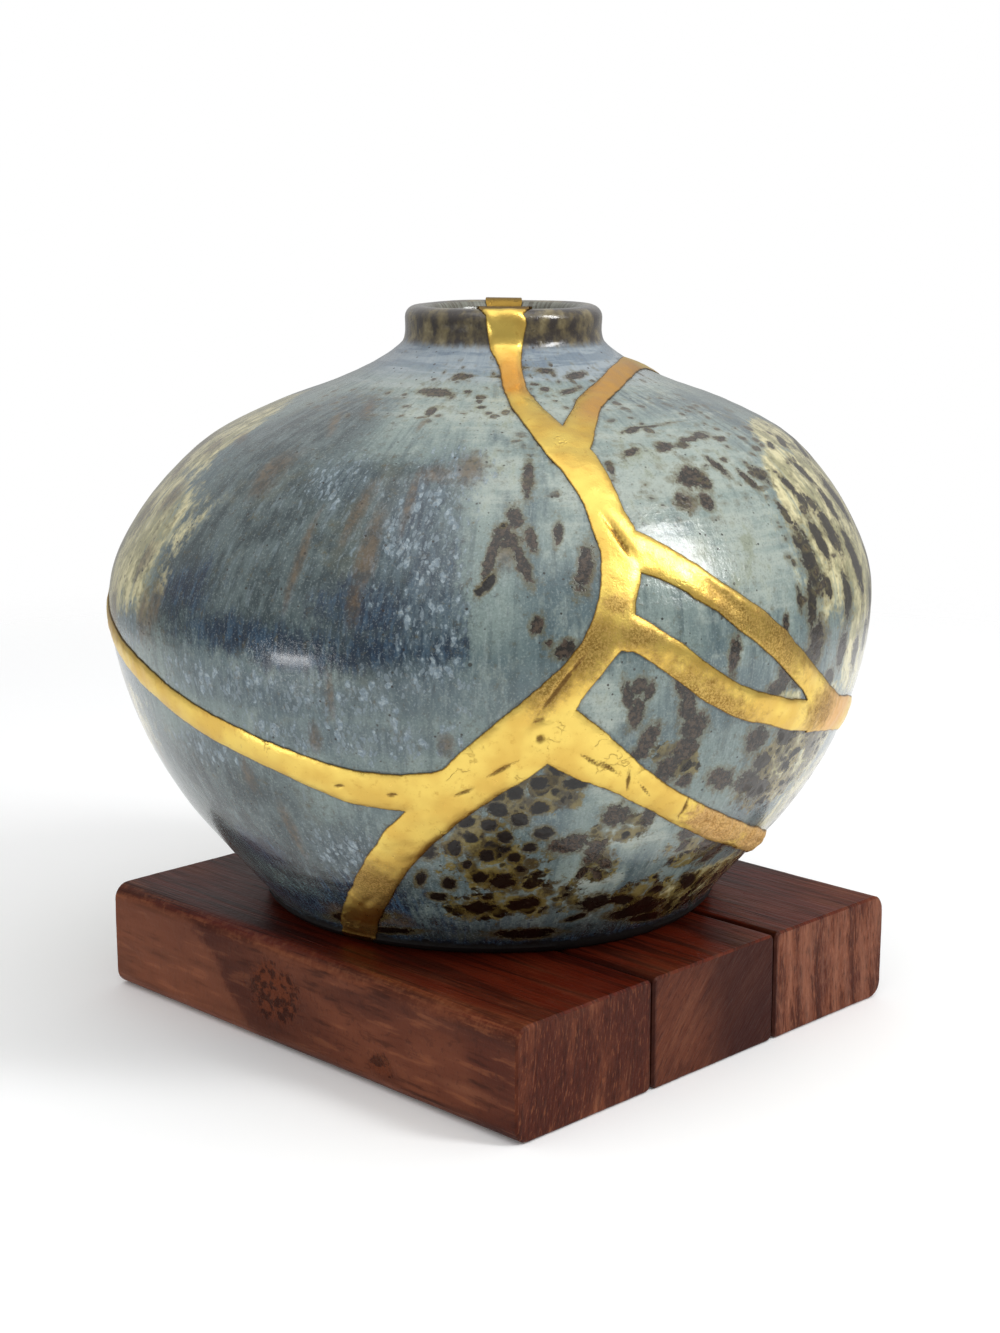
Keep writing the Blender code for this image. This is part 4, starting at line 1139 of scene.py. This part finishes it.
def worked_plank(node, wood):
    """A planed plank: long edges rounded, ends eased, then its faces cut up finely enough to wander."""
    low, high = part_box(node)
    size = high - low
    deselect()
    bpy.ops.mesh.primitive_cube_add(size=1)
    plank = bpy.context.object
    plank.name = f"planed_{node}"
    plank.scale = (size.x, size.y - 2 * PLANK_END_EDGE, size.z)
    plank.location = (low + high) / 2
    bpy.ops.object.transform_apply(location=True, rotation=False, scale=True)
    mesh = plank.data
    middle_x = (low.x + high.x) / 2
    for side, radius in zip((-1, 1), PLANK_EDGES[node]):
        clear_choice(plank)
        bpy.ops.object.mode_set(mode="EDIT")
        bpy.ops.mesh.select_mode(type="EDGE")
        bpy.ops.object.mode_set(mode="OBJECT")
        for edge in mesh.edges:
            first, second = (mesh.vertices[v].co for v in edge.vertices)
            lengthwise = abs(first.y - second.y) > size.y / 2
            outermost = all(side * (p.x - middle_x) > size.x / 2 - MM / 100 for p in (first, second))
            edge.select = lengthwise and outermost
        bpy.ops.object.mode_set(mode="EDIT")
        bpy.ops.mesh.bevel(offset=radius * MM, segments=EDGE_STEPS, profile=0.5, affect="EDGES")
        bpy.ops.object.mode_set(mode="OBJECT")
    clear_choice(plank)
    bpy.ops.object.mode_set(mode="EDIT")
    bpy.ops.mesh.select_mode(type="FACE")
    bpy.ops.object.mode_set(mode="OBJECT")
    for face in mesh.polygons:
        face.select = abs(face.normal.y) > 0.9
    bpy.ops.object.mode_set(mode="EDIT")
    bpy.ops.mesh.inset(thickness=PLANK_END_EDGE, depth=PLANK_END_EDGE, use_even_offset=True)
    bpy.ops.mesh.select_mode(type="EDGE")
    for axis, cuts in PLANK_CUTS.items():
        clear_choice(plank)
        edges_along(mesh, axis)
        bpy.ops.object.mode_set(mode="EDIT")
        bpy.ops.mesh.subdivide(number_cuts=cuts)
    bpy.ops.mesh.select_all(action="SELECT")
    bpy.ops.mesh.normals_make_consistent(inside=False)
    bpy.ops.object.mode_set(mode="OBJECT")
    places = vertex_places(mesh)
    normals = np.array([tuple(v.normal) for v in mesh.vertices])
    hollows = HOLLOW_SHARE * noise_at(places / PLANING_STRETCH, MM)
    hollows += CHATTER_SHARE * noise_at(places / CHATTER_STRETCH, MM, CHATTER_SHIFT)
    rise = PLANING * (hollows - PLANED_OFF)
    if node == "plank_left":
        on_left = places[:, 0] < low.x + 2 * MM
        for along, height, half_length, half_height, relief in LEFT_KNOTS:
            lengthwise = (places[:, 1] / MM - along) / half_length
            upright = (places[:, 2] / MM - height) / half_height
            gap = np.hypot(lengthwise, upright)
            rough = noise_at(places, KNOT_GRAIN)
            rise += on_left * relief * MM * (rough - KNOT_SINK) * np.exp(-gap ** 4)
    move_vertices(mesh, places + normals * rise[:, None])
    give_finish(plank, wood, WOOD_BEND)
    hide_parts(node)
    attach(plank, "root")


# The studio: a white floor, and how bright the room is at the horizon and above
FLOOR_RADIUS = 0.55
ROOM_HORIZON = 0.36
ROOM_ABOVE = 0.85
FLOOR_LOOK = {
    "Base Color": (0.96, 0.965, 0.97, 1), "Roughness": 0.9, "Specular IOR Level": 0.1,
    "Emission Color": (1, 1, 1, 1), "Emission Strength": 0.06,
}
# Its lamps, as (azimuth, elevation, distance, width, height, watts), and the height that they aim at
LAMPS = {
    "main_softbox": (66, 39, 0.8, 0.15, 0.34, 2.6),
    "overhead_softbox": (10, 72, 0.95, 1.0, 1.0, 2.6),
    "left_fill": (-54, -10, 0.5, 0.1, 0.04, 0.22),
}
LAMP_AIM = 0.09
# The camera as it was fitted: metres to the right, back and up, degrees down and to the right, and its
# focal length in pixels of a picture this many pixels tall
CAMERA_RIGHT, CAMERA_BACK, CAMERA_HEIGHT = 0.0008, 0.4726, 0.1725
CAMERA_DOWN, CAMERA_PAN = 12.10, 0.15
FOCAL_PIXELS, PICTURE_PIXELS = 2253.19, 1333
SENSOR = 36


def studio_direction(azimuth, elevation):
    """From the vase, with azimuth 0 towards the camera, 90 to the right of the picture."""
    turn, rise = math.radians(azimuth), math.radians(elevation)
    front = Vector((-1, -1, 0)).normalized()
    right = Vector((1, -1, 0)).normalized()
    level = front * math.cos(turn) + right * math.sin(turn)
    return level * math.cos(rise) + Vector((0, 0, math.sin(rise)))


def softbox(name, azimuth, elevation, distance, width, height, power):
    light = bpy.data.lights.new(name, "AREA")
    light.shape = "RECTANGLE"
    light.size = width
    light.size_y = height
    light.energy = power
    lamp = bpy.data.objects.new(name, light)
    direction = studio_direction(azimuth, elevation)
    lamp.location = Vector((0, 0, LAMP_AIM)) + direction * distance
    lamp.visible_camera = False
    lamp.rotation_euler = direction.to_track_quat("Z", "Y").to_euler()
    bpy.context.scene.collection.objects.link(lamp)


def studio_world():
    """White behind the vase, and a soft room round it: bright overhead, dimmer at the horizon."""
    world = bpy.data.worlds.new("studio")
    bpy.context.scene.world = world
    world.use_nodes = True
    nodes, links = world.node_tree.nodes, world.node_tree.links
    seen = nodes["Background"]
    seen.inputs["Color"].default_value = (1, 1, 1, 1)
    room = nodes.new("ShaderNodeBackground")
    where = nodes.new("ShaderNodeTexCoord")
    parts = nodes.new("ShaderNodeSeparateXYZ")
    ramp = nodes.new("ShaderNodeValToRGB")
    ramp.color_ramp.elements[0].position = 0.0
    ramp.color_ramp.elements[0].color = (ROOM_HORIZON, ROOM_HORIZON, ROOM_HORIZON, 1)
    ramp.color_ramp.elements[1].position = 0.9
    ramp.color_ramp.elements[1].color = (ROOM_ABOVE, ROOM_ABOVE, ROOM_ABOVE, 1)
    path = nodes.new("ShaderNodeLightPath")
    mix = nodes.new("ShaderNodeMixShader")
    links.new(where.outputs["Generated"], parts.inputs[0])
    links.new(parts.outputs["Z"], ramp.inputs[0])
    links.new(ramp.outputs["Color"], room.inputs["Color"])
    links.new(path.outputs["Is Camera Ray"], mix.inputs[0])
    links.new(room.outputs[0], mix.inputs[1])
    links.new(seen.outputs[0], mix.inputs[2])
    links.new(mix.outputs[0], nodes["World Output"].inputs["Surface"])


def studio_floor():
    """A plain white disc that fades into the white behind it."""
    deselect()
    bpy.ops.mesh.primitive_circle_add(vertices=96, radius=FLOOR_RADIUS, fill_type="NGON")
    floor = bpy.context.object
    floor.name = "studio_floor"
    f = Finish("studio_white")
    flat = f.vector("LENGTH", f.place(), output="Value")
    fade = flat.ramp(FLOOR_RADIUS * 0.55, FLOOR_RADIUS * 0.98)
    clear = f.node("ShaderNodeBsdfTransparent", {}, {})
    mixed = f.node("ShaderNodeMixShader", {}, {0: fade, 1: Signal(f, f.shader.outputs[0]), 2: clear})
    f.feed(f.tree.nodes["Material Output"].inputs["Surface"], mixed)
    for name, value in FLOOR_LOOK.items():
        f.shader.inputs[name].default_value = value
    floor.data.materials.append(f.material)


def studio_camera():
    diagonal = math.cos(math.radians(45))
    camera = bpy.data.objects.new("studio_camera", bpy.data.cameras.new("studio_camera"))
    level = (diagonal * (CAMERA_RIGHT - CAMERA_BACK), diagonal * (-CAMERA_RIGHT - CAMERA_BACK))
    camera.location = (*level, CAMERA_HEIGHT)
    camera.rotation_euler = (math.radians(90 - CAMERA_DOWN), 0, math.radians(-45 - CAMERA_PAN))
    camera.data.lens = FOCAL_PIXELS * SENSOR / PICTURE_PIXELS
    camera.data.sensor_width = SENSOR
    bpy.context.scene.collection.objects.link(camera)
    bpy.context.scene.camera = camera


# The vessel is thrown, broken along its seams, and joined with a gold skin cut to the same seams
vessel = turned_vessel("thrown_vessel", GLAZE_STEP, GLAZE_TURNS)
cut(vessel, "DIFFERENCE", seam_network("break", GOLD_LAP))
shards = name_shards(loose_pieces(vessel))
gold_seams = turned_vessel("gold_lacquer_seams", GOLD_STEP, GOLD_TURNS, GOLD_PROUD, GOLD_PROUD_INSIDE)
cut(gold_seams, "INTERSECT", seam_network("seam", 0.0))
outer_gold, outline_points = gold_outline(gold_seams)
outline_tree = point_tree(outline_points)
stoneware = glaze_finish()
for node, shard in shards.items():
    finish_shard(node, shard, outline_tree, stoneware)
finish_gold(gold_seams, outer_gold, outline_tree, gold_finish())
for node in PLANK_EDGES:
    worked_plank(node, wood_finish(node))

studio_floor()
studio_world()
studio_camera()
for lamp_name, setting in LAMPS.items():
    softbox(lamp_name, *setting)
bpy.context.scene.view_settings.view_transform = "Standard"
